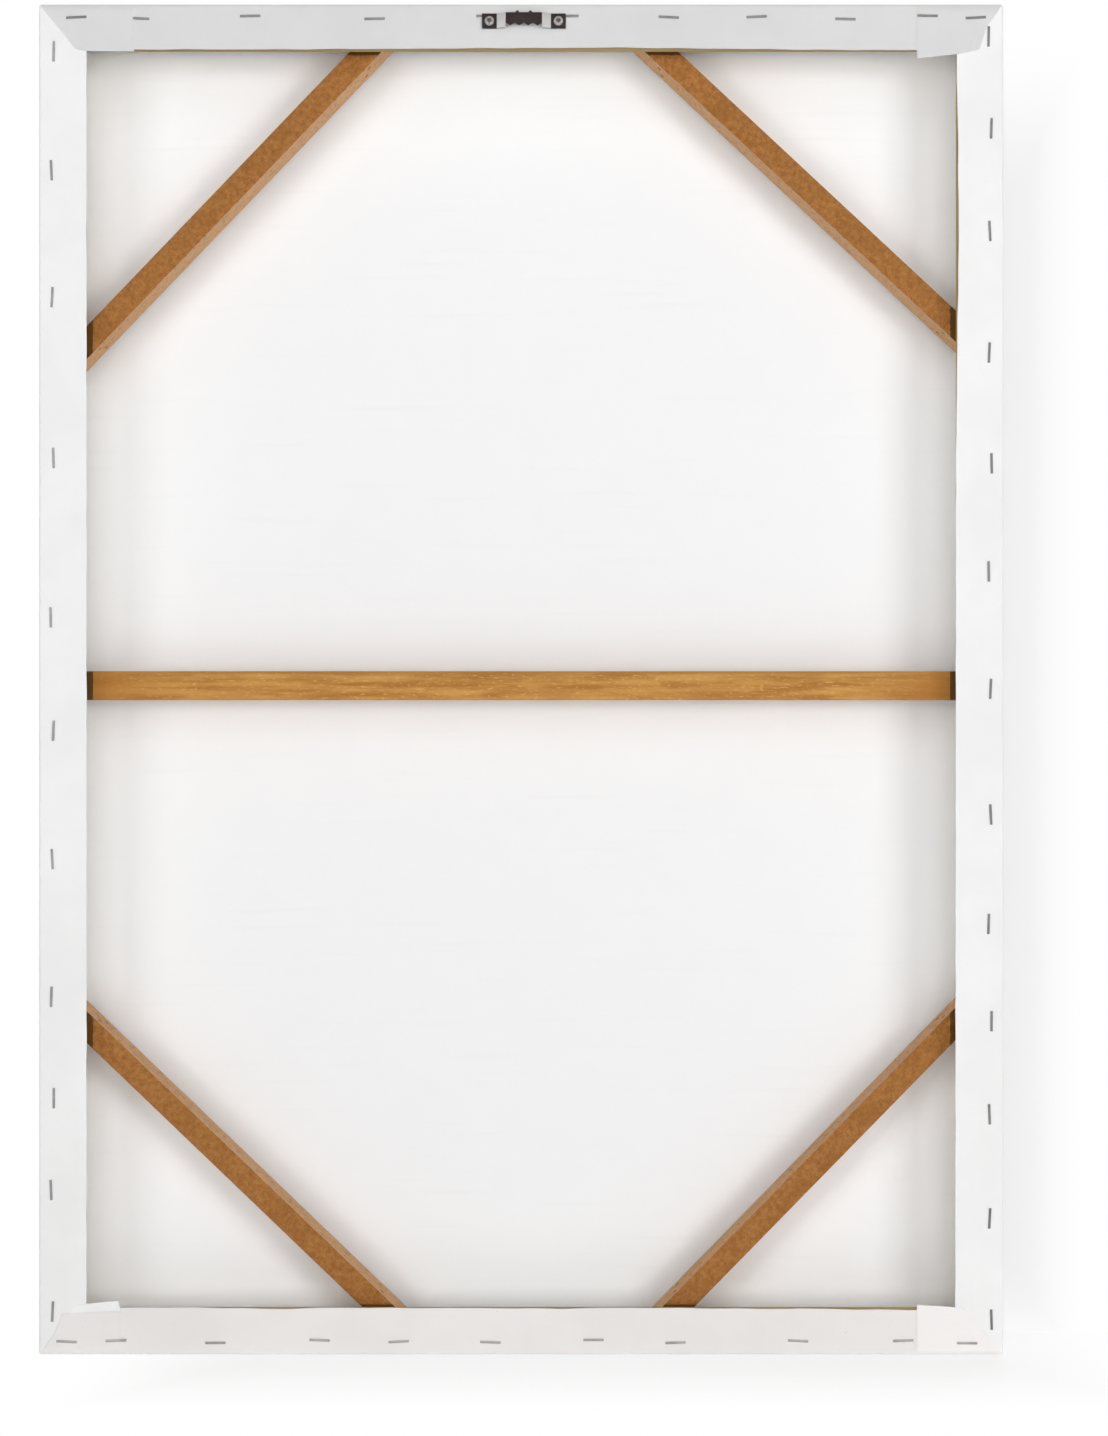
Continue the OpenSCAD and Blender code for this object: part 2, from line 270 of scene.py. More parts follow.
@dataclass(frozen=True)
class PrimedCloth(Finish):
    """White primer over a plain weave, read along the sheet's own flat coordinates.

    thin, thick and bare are the shares of the colour that such places keep.
    """

    colour: Colour = paint(241, 241, 241)
    thin: float = 0.965
    thick: float = 1.02
    bare: float = 0.66
    pitch: float = 0.75 * MM
    relief: float = 0.06 * MM
    roughness: float = 0.82

    def make(self) -> bpy.types.Material:
        """Mixes thin and thick primer and a few bare flecks, toned as the sheet says.

        Returns:
            The material.
        """
        tree = self.tree()
        flat = tree.signal("ShaderNodeUVMap", {"uv_map": "flat"})
        slub = tree.noise(tree.stretched(flat, (1, 6, 1)), 220, 3)
        brushed = tree.noise(tree.stretched(flat, (1, 0.35, 1)), 90, 4, 0.6)
        blotch = tree.noise(flat, 16, 3, 0.6)
        fleck = tree.noise(flat, 900, 1).ramp(0.74, 0.80)
        tone = tree.signal("ShaderNodeAttribute", {"attribute_name": "tone"}, output="Color")
        shade = (blotch.ramp(0.3, 0.7) * 0.6 + brushed * 0.4).ramp(0, 1)
        white = tree.mix(shade, dimmed(self.colour, self.thin), dimmed(self.colour, self.thick))
        marked = tree.mix(fleck * blotch.ramp(0.45, 0.7), white, dimmed(self.colour, self.bare))
        height = tree.weave(flat, self.pitch) * 0.22 + slub * 0.35 + brushed * 0.5
        return tree.surface(
            Base_Color=tree.mix(1.0, marked, tone, "MULTIPLY"),
            Roughness=self.roughness + 0.1 * (brushed - 0.5),
            Specular_IOR_Level=0.25, Normal=tree.bump(height, self.relief, 0.7),
        )


@dataclass(frozen=True)
class ClothReverse(Finish):
    """The inside of the cloth: bleached threads with faint streaks along the weft."""

    colour: Colour = paint(244, 244, 245)
    thread: Colour = paint(226, 226, 226)
    pitch: float = 0.75 * MM
    relief: float = 0.07 * MM

    def make(self) -> bpy.types.Material:
        """Streaks and flecks the threads.

        Returns:
            The material.
        """
        tree = self.tree()
        flat = tree.signal("ShaderNodeUVMap", {"uv_map": "flat"})
        streak = tree.noise(tree.stretched(flat, (0.4, 9, 1)), 24, 4, 0.55)
        slub = tree.noise(tree.stretched(flat, (1, 7, 1)), 260, 3)
        fleck = tree.noise(flat, 700, 1).ramp(0.75, 0.82)
        base = tree.mix(streak.ramp(0.56, 0.8) * 0.16, self.colour, self.thread)
        height = tree.weave(flat, self.pitch) * 0.3 + slub * 0.5
        return tree.surface(
            Base_Color=tree.mix(fleck * 0.35, base, self.thread),
            Roughness=0.84 + 0.1 * (slub - 0.5),
            Specular_IOR_Level=0.2, Normal=tree.bump(height, self.relief, 0.7),
        )


class Grain(Enum):
    """The direction that a piece of wood's grain runs in."""

    LEVEL = (0.045, 1.0, 1.0)
    UPRIGHT = (1.0, 1.0, 0.045)


@dataclass(frozen=True)
class Pine(Finish):
    """Bare planed pine with growth rings and fine pores along its grain, with painted shade on its
    back face.
    """

    grain: Grain
    light: Colour = paint(240, 236, 228)
    dark: Colour = paint(226, 219, 206)
    # painted shade: the back face, which shows past the cloth's cut edge, darkened for that edge's
    # shade
    painted_back_shade: Colour = paint(150, 128, 86)
    relief: float = 0.12 * MM

    def make(self) -> bpy.types.Material:
        """Runs rings and pores along the grain.

        Returns:
            The material.
        """
        tree = self.tree()
        along = tree.stretched(tree.place(), self.grain.value)
        rings = tree.noise(along, 130, 3, 0.55)
        pores = tree.noise(along, 1100, 2)
        board = tree.noise(along, 24, 2)
        base = tree.mix((rings * 0.65 + board * 0.35).ramp(0.38, 0.66), self.light, self.dark)
        flecked = tree.mix(pores.ramp(0.6, 0.75) * 0.35, base, self.dark)
        # painted shade over the back face
        back = tree.mix(rings.ramp(0.4, 0.6) * 0.5, self.painted_back_shade, flecked, "MULTIPLY")
        return tree.surface(
            Base_Color=tree.mix(tree.facing_back(), flecked, back),
            Roughness=0.6 + 0.18 * (pores - 0.5),
            Specular_IOR_Level=0.3, Normal=tree.bump(pores * 0.5 + rings * 0.5, self.relief),
        )


@dataclass(frozen=True)
class Fibreboard(Finish):
    """Fibreboard strip: a sawn brown back, paler smooth sides and painted shade on the ends that run
    under the bars.
    """

    half_width: float
    low: float
    high: float
    sawn: Colour = paint(174, 119, 64)
    sawn_dark: Colour = paint(141, 90, 40)
    smooth: Colour = paint(198, 156, 114)
    smooth_dark: Colour = paint(163, 120, 80)
    # painted shade: the dark colour of the ends that run under the bars' overhang
    painted_shade: Colour = paint(84, 55, 14)
    painted_shade_edge: float = 0.25 * MM
    painted_shade_stray: float = 1.2 * MM
    relief: float = 0.18 * MM

    def make(self) -> bpy.types.Material:
        """Mixes the sawn back, the smooth sides and the painted shade under the bars.

        Returns:
            The material.
        """
        tree = self.tree()
        place = tree.place()
        across, _, height = tree.axes(place)
        wool = tree.noise(place, 420, 4, 0.65)
        fibre = tree.noise(tree.stretched(place, (1, 0.3, 1)), 1500, 2, 0.6)
        cloud = tree.noise(place, 60, 3, 0.55)
        is_back = tree.facing_back()
        grit = (wool * 0.55 + fibre * 0.45).ramp(0.36, 0.64)
        sawn = tree.mix(grit, self.sawn, self.sawn_dark)
        sawn = tree.mix(cloud.ramp(0.5, 0.7) * 0.4, sawn, self.sawn_dark)
        smooth = tree.mix(wool.ramp(0.5, 0.68) * 0.8, self.smooth, self.smooth_dark)
        stray = (wool - 0.5) * self.painted_shade_stray
        # painted shade on the back face where the ends run under the bars
        under = self.shade_under_bars(across, height, stray) * is_back
        return tree.surface(
            Base_Color=tree.mix(under, tree.mix(is_back, smooth, sawn), self.painted_shade),
            Roughness=0.78 + 0.2 * (wool - 0.5),
            Specular_IOR_Level=0.2, Normal=tree.bump(wool * 0.6 + fibre * 0.4, self.relief),
        )

    def shade_under_bars(self, across: Signal, height: Signal, stray: Signal) -> Signal:
        """Marks the ends that run under the bars, which get painted shade.

        Args:
            across: Place from the middle of the frame to the right.
            height: Place above the floor.
            stray: How far the painted shade's edge strays.

        Returns:
            A share, which is 0 on the open brace.
        """
        edge = self.painted_shade_edge
        side = (across.size() + stray).ramp(self.half_width - edge, self.half_width + edge)
        foot = (height + stray).ramp(self.low + edge, self.low - edge)
        head = (height + stray).ramp(self.high - edge, self.high + edge)
        return side.most(foot).most(head) * 0.92


@dataclass(frozen=True)
class CrossBraceWood(Finish):
    """Golden pine with mottled grain and pale flecks, darker towards its ends and top edge, with
    painted shade where its ends run under the bars.
    """

    half_width: float
    middle: float
    half_height: float
    light: Colour = paint(198, 145, 70)
    dark: Colour = paint(162, 107, 40)
    fleck: Colour = paint(220, 174, 106)
    # painted shade: the dark colour where the ends run under the bars' overhang
    painted_shade: Colour = paint(72, 50, 6)
    darker_end_reach: float = 60 * MM
    darker_top_reach: float = 2.5 * MM
    painted_shade_edge: float = 0.2 * MM
    painted_shade_stray: float = 0.5 * MM
    relief: float = 0.15 * MM

    def make(self) -> bpy.types.Material:
        """Runs mottle and flecks along the grain, darkens the ends and the top edge, and paints shade
        where the ends run under the bars.

        Returns:
            The material.
        """
        tree = self.tree()
        place = tree.place()
        across, _, height = tree.axes(place)
        grain = tree.noise(tree.stretched(place, (0.05, 1, 1)), 330, 4, 0.6)
        mottle = tree.noise(tree.stretched(place, (0.16, 1, 1)), 150, 4, 0.62)
        dash = tree.noise(tree.stretched(place, (0.3, 1, 1)), 1100, 2)
        cloud = tree.noise(place, 26, 3, 0.5)
        base = tree.mix((grain * 0.45 + mottle * 0.55).ramp(0.4, 0.62), self.light, self.dark)
        flecked = tree.mix(dash.ramp(0.56, 0.72) * 0.55, base, self.fleck)
        clouded = tree.mix(cloud.ramp(0.5, 0.72) * 0.45, flecked, self.dark)
        # darker towards the ends and along the top edge
        near_end = across.size().ramp(self.half_width - self.darker_end_reach, self.half_width)
        near_top = (height - self.middle).ramp(self.half_height - self.darker_top_reach, self.half_height)
        ends_and_top_darker = tree.mix(near_end.most(near_top) * 0.75, clouded, self.dark)
        # painted shade where the ends run under the bars
        stray = (mottle - 0.5) * self.painted_shade_stray
        under = (across.size() + stray).ramp(
            self.half_width - self.painted_shade_edge, self.half_width + self.painted_shade_edge)
        return tree.surface(
            Base_Color=tree.mix(under * 0.95, ends_and_top_darker, self.painted_shade),
            Roughness=0.62 + 0.25 * (mottle - 0.5), Specular_IOR_Level=0.3,
            Normal=tree.bump(grain * 0.5 + dash * 0.5, self.relief),
        )


@dataclass(frozen=True)
class DullWire(Finish):
    """Drawn steel wire with fine lines and patches of dull zinc."""

    colour: Colour
    metallic: float = 0.55
    roughness: float = 0.42
    dulled: float = 0.62
    relief: float = 0.03 * MM

    def make(self) -> bpy.types.Material:
        """Dulls the wire in patches and along its drawn lines.

        Returns:
            The material.
        """
        tree = self.tree()
        place = tree.place()
        patch = tree.noise(place, 120, 2)
        drawn = tree.noise(place, 2600, 2, 0.6)
        share = (patch * 0.7 + drawn * 0.3).ramp(0.42, 0.62) * 0.7
        return tree.surface(
            Base_Color=tree.mix(share, self.colour, dimmed(self.colour, self.dulled)),
            Metallic=self.metallic, Roughness=self.roughness + 0.3 * (drawn - 0.5),
            Normal=tree.bump(drawn, self.relief, 0.6),
        )


@dataclass(frozen=True)
class BlackLacquer(Finish):
    """Black lacquer over steel, rubbed bright on the two ramps."""

    centre: float
    bar_half: float
    pad_from: float
    black: Colour = paint(34, 22, 21)
    scuffed: Colour = paint(104, 84, 78)
    bright: Colour = paint(172, 171, 170)
    streaked: Colour = paint(150, 146, 142)
    edge: float = 0.15 * MM
    relief: float = 0.04 * MM

    def make(self) -> bpy.types.Material:
        """Bares the metal between the toothed bar and the pads.

        Returns:
            The material.
        """
        tree = self.tree()
        place = tree.place()
        away = (tree.axes(place)[0] - self.centre).size()
        ramp = away.ramp(self.bar_half - self.edge, self.bar_half + self.edge).least(
            away.ramp(self.pad_from + self.edge, self.pad_from - self.edge))
        lines = tree.noise(tree.stretched(place, (6, 1, 0.3)), 900, 2, 0.6)
        worn = tree.noise(place, 800, 3, 0.6).ramp(0.62, 0.72) * 0.25
        base = tree.mix(worn, self.black, self.scuffed)
        polished = tree.mix((lines - 0.5).ramp(0, 0.25) * 0.5, self.bright, self.streaked)
        return tree.surface(
            Base_Color=tree.mix(ramp, base, polished), Metallic=0.5 * ramp,
            Roughness=0.42 + 0.12 * (lines - 0.5) + 0.1 * ramp, Specular_IOR_Level=0.18,
            Normal=tree.bump(lines * 0.4 + worn, self.relief, 0.6),
        )


@dataclass(frozen=True)
class ZincPlate(Finish):
    """Bright zinc on a screw's head, with painted shade in its recess.

    recess holds the radii where the painted shade starts and where it is full.
    """

    axis: tuple[float, float]
    colour: Colour = paint(180, 178, 174)
    tarnish: Colour = paint(120, 116, 112)
    # painted shade: the dark colour of the recess
    recess_shade_colour: Colour = paint(46, 40, 38)
    recess: tuple[float, float] = (1.5 * MM, 0.9 * MM)
    relief: float = 0.02 * MM

    def make(self) -> bpy.types.Material:
        """Tarnishes the head in patches and paints shade round its axis, over the recess.

        Returns:
            The material.
        """
        tree = self.tree()
        place = tree.place()
        patch = tree.noise(place, 900, 3, 0.6)
        fine = tree.noise(place, 4000, 2)
        plated = tree.mix(patch.ramp(0.45, 0.65) * 0.6, self.colour, self.tarnish)
        x, _, z = tree.axes(place)
        across, up = x - self.axis[0], z - self.axis[1]
        # painted shade in the recess, a dark disc round the axis
        painted_recess_shade = (across * across + up * up).ramp(self.recess[0] ** 2, self.recess[1] ** 2)
        return tree.surface(
            Base_Color=tree.mix(painted_recess_shade * 0.85, plated, self.recess_shade_colour), Metallic=0.5,
            Roughness=0.46 + 0.2 * (patch - 0.5), Specular_IOR_Level=0.3,
            Normal=tree.bump(fine, self.relief, 0.5),
        )


@dataclass(frozen=True)
class StudioWhite(Finish):
    """A pale studio surface that the camera sees as nearly white, shadows kept.

    Each fade is an axis with the places where the glow starts to grow and where it is full.
    """

    fades: tuple[tuple[int, float, float], ...]
    glow: float
    one_sided: bool = False
    dull: float = 0.93
    pale: float = 0.95

    def make(self) -> bpy.types.Material:
        """Mixes a matt white and a glow that only the camera sees.

        Returns:
            The material.
        """
        tree = self.tree()
        white = (1.0, 1.0, 1.0, 1.0)
        mottle = tree.noise(tree.place(), 6, 2)
        pale = tree.mix(mottle, dimmed(white, self.dull), dimmed(white, self.pale))
        matt = tree.signal("ShaderNodeBsdfDiffuse", sockets={"Color": pale})
        lit = tree.signal("ShaderNodeEmission", sockets={"Color": white, "Strength": 1.0})
        axes = tree.axes(tree.place())
        away = axes[0] * 0
        for axis, near, far in self.fades:
            away = away.most(axes[axis].ramp(near, far))
        glow = tree.seen() * (self.glow + (1 - self.glow) * away)
        shader = tree.signal("ShaderNodeMixShader", sockets={0: glow, 1: matt, 2: lit})
        if self.one_sided:
            behind = tree.signal("ShaderNodeNewGeometry", output="Backfacing")
            clear = tree.signal("ShaderNodeBsdfTransparent")
            shader = tree.signal("ShaderNodeMixShader", sockets={0: behind, 1: shader, 2: clear})
        return tree.end(shader)


# ---- mesh tools ----


def deselect_all() -> None:
    """Leaves edit mode and deselects every object."""
    if bpy.context.object and bpy.context.object.mode != "OBJECT":
        bpy.ops.object.mode_set(mode="OBJECT")
    bpy.ops.object.select_all(action="DESELECT")


def make_active(*pieces: bpy.types.Object) -> None:
    """Selects some objects alone and makes the first one active.

    Args:
        pieces: The objects.
    """
    deselect_all()
    for piece in pieces:
        piece.select_set(True)
    bpy.context.view_layer.objects.active = pieces[0]


def add_object(name: str, data: bpy.types.ID) -> bpy.types.Object:
    """Puts a new object in the scene, at the origin.

    Args:
        name: Its name.
        data: Its mesh, lamp or camera.

    Returns:
        The object.
    """
    made = bpy.data.objects.new(name, data)
    bpy.context.scene.collection.objects.link(made)
    return made


def edit_selection(
    piece: bpy.types.Object, mode: str = "FACE",
    wanted: Callable[[Any], bool] = lambda element: True,
) -> None:
    """Enters edit mode with chosen elements selected.

    Args:
        piece: The object to edit.
        mode: FACE or EDGE.
        wanted: Says for a face or an edge whether it is selected.
    """
    make_active(piece)
    bpy.ops.object.mode_set(mode="EDIT")
    bpy.ops.mesh.select_mode(type=mode)
    bpy.ops.mesh.select_all(action="DESELECT")
    shape = bmesh.from_edit_mesh(piece.data)
    for element in shape.faces if mode == "FACE" else shape.edges:
        element.select = wanted(element)
    shape.select_flush_mode()
    bmesh.update_edit_mesh(piece.data)


def apply_modifier(piece: bpy.types.Object, kind: str, **settings: Any) -> None:
    """Adds a modifier to a piece and applies it.

    Args:
        piece: The object.
        kind: The modifier's type.
        settings: Its properties.
    """
    make_active(piece)
    made = piece.modifiers.new(kind.lower(), kind)
    for name, value in settings.items():
        setattr(made, name, value)
    bpy.ops.object.modifier_apply(modifier=made.name)


def softened(node: str, name: str, edge: float) -> bpy.types.Object:
    """Copies a CAD node and rounds its sharp edges, as sanding or plating does.

    Args:
        node: The CAD node.
        name: The new piece's name.
        edge: Width of the rounding, in metres.

    Returns:
        The new piece, which replaces the node.
    """
    sharp = math.radians(35)
    piece = add_object(name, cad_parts[node].data.copy())
    piece.data.materials.clear()
    edit_selection(piece)
    bpy.ops.mesh.remove_doubles(threshold=0.005 * MM)
    bpy.ops.mesh.dissolve_limited(angle_limit=math.radians(1), use_dissolve_boundaries=False)
    bpy.ops.object.mode_set(mode="OBJECT")
    apply_modifier(
        piece, "BEVEL", width=edge, segments=2, limit_method="ANGLE", angle_limit=sharp,
        use_clamp_overlap=True,
    )
    bpy.ops.object.shade_smooth_by_angle(angle=sharp)
    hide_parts(node)
    return piece


def dress(piece: bpy.types.Object, material: bpy.types.Material | None = None) -> None:
    """Gives a new piece the body it rides on and its material, and reports it.

    Args:
        piece: The piece.
        material: Its material, unless it has its materials already.
    """
    if material:
        piece.data.materials.clear()
        piece.data.materials.append(material)
    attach(piece, BODY)
    log.info("%s: %d faces", piece.name, len(piece.data.polygons))


def redress(node: str, material: bpy.types.Material) -> None:
    """Puts a material in every slot of a CAD node that stays as it is.

    Args:
        node: The CAD node.
        material: The material.
    """
    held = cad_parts[node].data.materials
    if not held:
        held.append(material)
    for index in range(len(held)):
        held[index] = material
    log.info("%s: CAD node kept", node)


# ---- cloth ----


class Side(Enum):
    """A side of the frame: its number, its direction along and its direction inwards."""

    BOTTOM = (0, (1, 0), (0, 1))
    RIGHT = (1, (0, 1), (-1, 0))
    TOP = (2, (-1, 0), (0, -1))
    LEFT = (3, (0, -1), (1, 0))

    @property
    def number(self) -> int:
        """The side's number, counted anticlockwise from the bottom."""
        return self.value[0]

    @property
    def along(self) -> np.ndarray:
        """The direction along the side, in x and z."""
        return np.array(self.value[1], float)

    @property
    def inwards(self) -> np.ndarray:
        """The direction from the side to the middle, in x and z."""
        return np.array(self.value[2], float)

    @property
    def is_level(self) -> bool:
        """Whether the side is the bottom or the top."""
        return self in (Side.BOTTOM, Side.TOP)

    def lay(self, along: np.ndarray, inwards: np.ndarray) -> tuple[np.ndarray, np.ndarray]:
        """Returns the steps in x and in z of distances along the side and inwards."""
        return tuple(self.along[i] * along + self.inwards[i] * inwards for i in (0, 1))


def between(points: Points, where: np.ndarray) -> np.ndarray:
    """Returns a line through points in millimetres, read at places in metres."""
    table = np.array(points, float) * MM
    return np.interp(where, table[:, 0], table[:, 1])


def ease(share: np.ndarray) -> np.ndarray:
    """Returns a smooth step of a share, held between 0 and 1."""
    held = np.clip(share, 0, 1)
    return held * held * (3 - 2 * held)


def distance_to_line(points: Points, u: np.ndarray, v: np.ndarray) -> np.ndarray:
    """Measures how far places lie from a line through given points.

    Args:
        points: The line's points in millimetres.
        u: First coordinates of the places, in metres.
        v: Second coordinates.

    Returns:
        Distances in metres.
    """
    nearest = np.full(np.broadcast(u, v).shape, 1.0)
    for (u0, v0), (u1, v1) in zip(points, points[1:]):
        du, dv = (u1 - u0) * MM, (v1 - v0) * MM
        from_u, from_v = u - u0 * MM, v - v0 * MM
        share = np.clip((from_u * du + from_v * dv) / (du * du + dv * dv), 0, 1)
        nearest = np.minimum(nearest, np.hypot(from_u - share * du, from_v - share * dv))
    return nearest


@dataclass(frozen=True)
class CornerFold:
    """One end of a flap, in millimetres from the flap's end and from the outer edge.

    crease holds depth and distance from the end; cut holds distance from the end and depth.
    doubled is how far from the end the second layer reaches.
    """

    crease: Points
    cut: Points
    doubled: float = 0.0
    lift: float = 0.0
    tone: float = 1.0
    pleats: tuple[Points, ...] = ()


@dataclass(frozen=True)
class Flap:
    """A strip of cloth turned over on to the back of one bar.

    shortfall holds places along the side and how much too short the flap is there.
    """

    side: Side
    start: CornerFold
    end: CornerFold
    shortfall: Points
    tone: tuple[float, float, float]

    @property
    def folds(self) -> tuple[tuple[CornerFold, int], ...]:
        """The two ends, each with the sign of its places along the side."""
        return (self.start, -1), (self.end, 1)


class SheetMesh:
    """A sheet's points, faces, flat coordinates and tones, gathered grid by grid."""

    def __init__(self) -> None:
        """Starts an empty sheet."""
        self.points, self.flats, self.tones, self.faces = [], [], [], []

    def add(self, points: np.ndarray, flats: np.ndarray, tones: np.ndarray) -> np.ndarray:
        """Adds a grid of points joined in quads.

        Args:
            points: The points, by row and column.
            flats: Their flat coordinates.
            tones: Their tones.

        Returns:
            The points' numbers, by row and column.
        """
        rows, cols = points.shape[:2]
        first = sum(len(grid) for grid in self.points)
        index = first + np.arange(rows * cols).reshape(rows, cols)
        corners = index[:-1, :-1], index[:-1, 1:], index[1:, 1:], index[1:, :-1]
        self.faces += np.stack(corners, -1).reshape(-1, 4).tolist()
        self.points.append(points.reshape(-1, 3))
        self.flats.append(flats.reshape(-1, 2))
        self.tones.append(tones.reshape(-1, 3))
        return index

    def make(self, name: str) -> bpy.types.Object:
        """Makes the mesh, its "flat" UV map and its "tone" colours.

        Args:
            name: Name of the object and its mesh.

        Returns:
            The object.
        """
        points = np.concatenate(self.points)
        mesh = bpy.data.meshes.new(name)
        mesh.from_pydata(points.tolist(), [], self.faces)
        corners = np.zeros(len(mesh.loops), np.int32)
        mesh.loops.foreach_get("vertex_index", corners)
        flats = np.concatenate(self.flats)[corners]
        mesh.uv_layers.new(name="flat").data.foreach_set("uv", flats.ravel())
        tones = np.concatenate([np.concatenate(self.tones), np.ones((len(points), 1))], 1)
        layer = mesh.color_attributes.new("tone", "FLOAT_COLOR", "POINT")
        layer.data.foreach_set("color", tones.ravel())
        return add_object(name, mesh)


@dataclass
class CanvasCloth:
    """The one sheet of primed cloth, over the front, round the sides and on to the back."""

    width: float
    height: float
    half_depth: float
    thickness: float = 0.5 * MM
    corner_radius: float = 1.5 * MM
    front_radius: float = 1.3 * MM
    back_radius: float = 1.1 * MM
    front_lap: float = 1.45 * MM
    step: float = 2.5 * MM
    step_least: float = 0.6 * MM
    merge: float = 0.002 * MM
    # folds at the corners
    fade: float = 40 * MM
    settle: float = 4 * MM
    fold_run: float = 1.2 * MM
    layer_end: float = 0.7 * MM
    layer_slope: float = 1.5 * MM
    pleat_height: float = 0.16 * MM
    pleat_width: float = 0.8 * MM
    step_back: float = 0.1 * MM
    tone_edge: float = 0.3 * MM
    # slackness and marks
    curl: float = 0.16
    fray: float = 0.12 * MM
    ripple: float = 0.03 * MM
    slack_from: float = 0.3
    dent: float = 0.16 * MM
    dent_size: tuple[float, float] = (5.2 * MM, 1.6 * MM)
    # walls, where the layers folded in at the ends of the top one push it out
    wall_fade: float = 6 * MM
    back_from: float = 0.2
    wall_layer: float = 0.4 * MM
    wall_layer_ends: tuple[float, float] = (2.4 * MM, 24 * MM)
    wall_layer_slopes: tuple[float, float] = (1.2 * MM, 3 * MM)
    # the tucked layer at the lower left
    tuck_foot: float = 16 * MM
    tuck_heights: tuple[float, float, float] = (0.28 * MM, 0.15 * MM, 0.05 * MM)
    tuck_tone: float = 1.02

    # millimetres from the ends of a side's straight, and from the end of a doubled layer
    NEAR_COLUMNS = (0.25, 0.5, 0.8, 1.2, 1.7, 2.3, *range(3, 31), 32, 34, 36)
    LAYER_COLUMNS = (-3, -1.5, -0.7, 0, 0.1, 0.8, 1.6, 3)
    # shares of the way from the back edge to the cut edge
    FLAP_ROWS = (0, 0.05, 0.11, 0.18, 0.26, 0.35, 0.44, 0.54, 0.64, 0.74, 0.83, 0.91, 0.965, 1)
    # each wave's height in millimetres, and its turn per metre along, per metre inwards and per side
    SLACK = ((0.05, 61, 0, 1), (0.04, 143, 160, 2), (0.03, 310, -250, 1))
    CURL_WAVE = 83
    FRAY_WAVES = (210, 37)
    WALL_WAVE = 47
    TUCK_WAVE = 400
    # the tucked layer's upper edge: distance from the left and height, in millimetres
    TUCK = ((16.8, 22.9), (18.9, 25.8), (25.1, 26.5), (41.1, 28.1), (42.4, 24.0))
    TUCK_COLUMNS = (16.8, 17.8, 18.9, 22, 25.1, 29, 33, 37, 41.1, 41.7, 42.4)
    TUCK_ROWS = (0, 0.5, 0.8, 0.93, 1)

    def flaps(self) -> list[Flap]:
        """Sets out the folds.

        Returns:
            The four flaps as they were folded.
        """
        whole = FLAP_REACH / MM
        underlap = CornerFold(crease=((0, 0), (1, 1), (25, 14)), cut=((0, whole), (60, whole)))
        top_left = CornerFold(
            crease=((0, 0), (1.6, 1.3), (23.4, 19.1), (26, 21)),
            cut=((0, 22), (19.1, 23.4), (24.6, 24.5), (49.4, 24.7), (49.5, 23.6), (70, 23.4)),
            doubled=49.4, lift=0.55,
            pleats=(((11.6, 8), (14.7, 13.2), (19.9, 23.6)),),
        )
        top_right = CornerFold(
            crease=((0, 0), (0.7, 0.5), (11, 8.3), (23.5, 12.4), (28, 13.5)),
            cut=((0, 22), (12.4, 23.5), (24.6, 26.2), (45, 28.5), (45.1, 24.1), (70, 24.0)),
            doubled=45.0, lift=0.6,
            pleats=(((6, 3), (13, 10), (17, 24)), ((3, 5), (10, 16))),
        )
        bottom_left = CornerFold(
            crease=((0, 0), (1, 1), (11, 7.8), (21.4, 11.9), (26, 13.5)),
            cut=((0, 21), (11.9, 21.4), (30, 22.4), (60, 23.0)),
            doubled=42.0, lift=0.6,
            pleats=(((5, 3), (13, 12), (16, 20)),),
        )
        bottom_right = CornerFold(
            crease=((0, 0), (1, 0.8), (23.9, 19.4), (27, 22)),
            cut=((0, 22), (19.4, 23.9), (23.8, 24.7), (45, 26.0), (45.1, 23.2), (70, 23.5)),
            doubled=45.0, lift=0.6, tone=1.09,
            pleats=(((17, 14.5), (13, 2.5)),),
        )
        bottom_short = (
            (-187, 0.1), (-160, 0.3), (-120, 0.9), (-106, 0.3), (-48, 0.4), (20, 0.7),
            (45, 0.3), (92, 0.5), (139, 0.9), (144, 0.6), (175, 1.1), (203, 1.4),
        )
        right_short = (
            (-300, -0.4), (-60, -0.2), (120, 0), (170, 0.6), (230, 1.4), (290, 0.9), (310, 0.3),
        )
        top_short = (
            (-200, 0.7), (-140, 1.0), (-90, 1.6), (-50, 2.1), (20, 1.7), (100, 1.2), (200, 1.0),
        )
        left_short = ((-300, -0.1), (300, -0.1))
        plain, dusky, warm = (1.0, 1.0, 1.0), (0.79, 0.79, 0.79), (0.93, 0.90, 0.89)
        return [
            Flap(Side.BOTTOM, bottom_left, bottom_right, bottom_short, warm),
            Flap(Side.RIGHT, underlap, underlap, right_short, plain),
            Flap(Side.TOP, top_right, top_left, top_short, dusky),
            Flap(Side.LEFT, underlap, underlap, left_short, plain),
        ]

    def half_length(self, side: Side) -> float:
        """Returns half the length of a side."""
        return (self.width if side.is_level else self.height) / 2

    def half_across(self, side: Side) -> float:
        """Returns half the frame's extent across a side."""
        return (self.height if side.is_level else self.width) / 2

    def to_points(
        self, side: Side, along: np.ndarray, depth: np.ndarray, y: Any,
    ) -> np.ndarray:
        """Turns a side's own coordinates into points.

        Args:
            side: The side.
            along: Places along it, from its middle.
            depth: Distances inwards from its outer face.
            y: The points' y.

        Returns:
            The points.
        """
        x, z = side.lay(along, depth)
        start = -side.inwards * self.half_across(side)
        return np.stack(
            [start[0] + x, np.broadcast_to(y, x.shape), self.height / 2 + start[1] + z], -1)

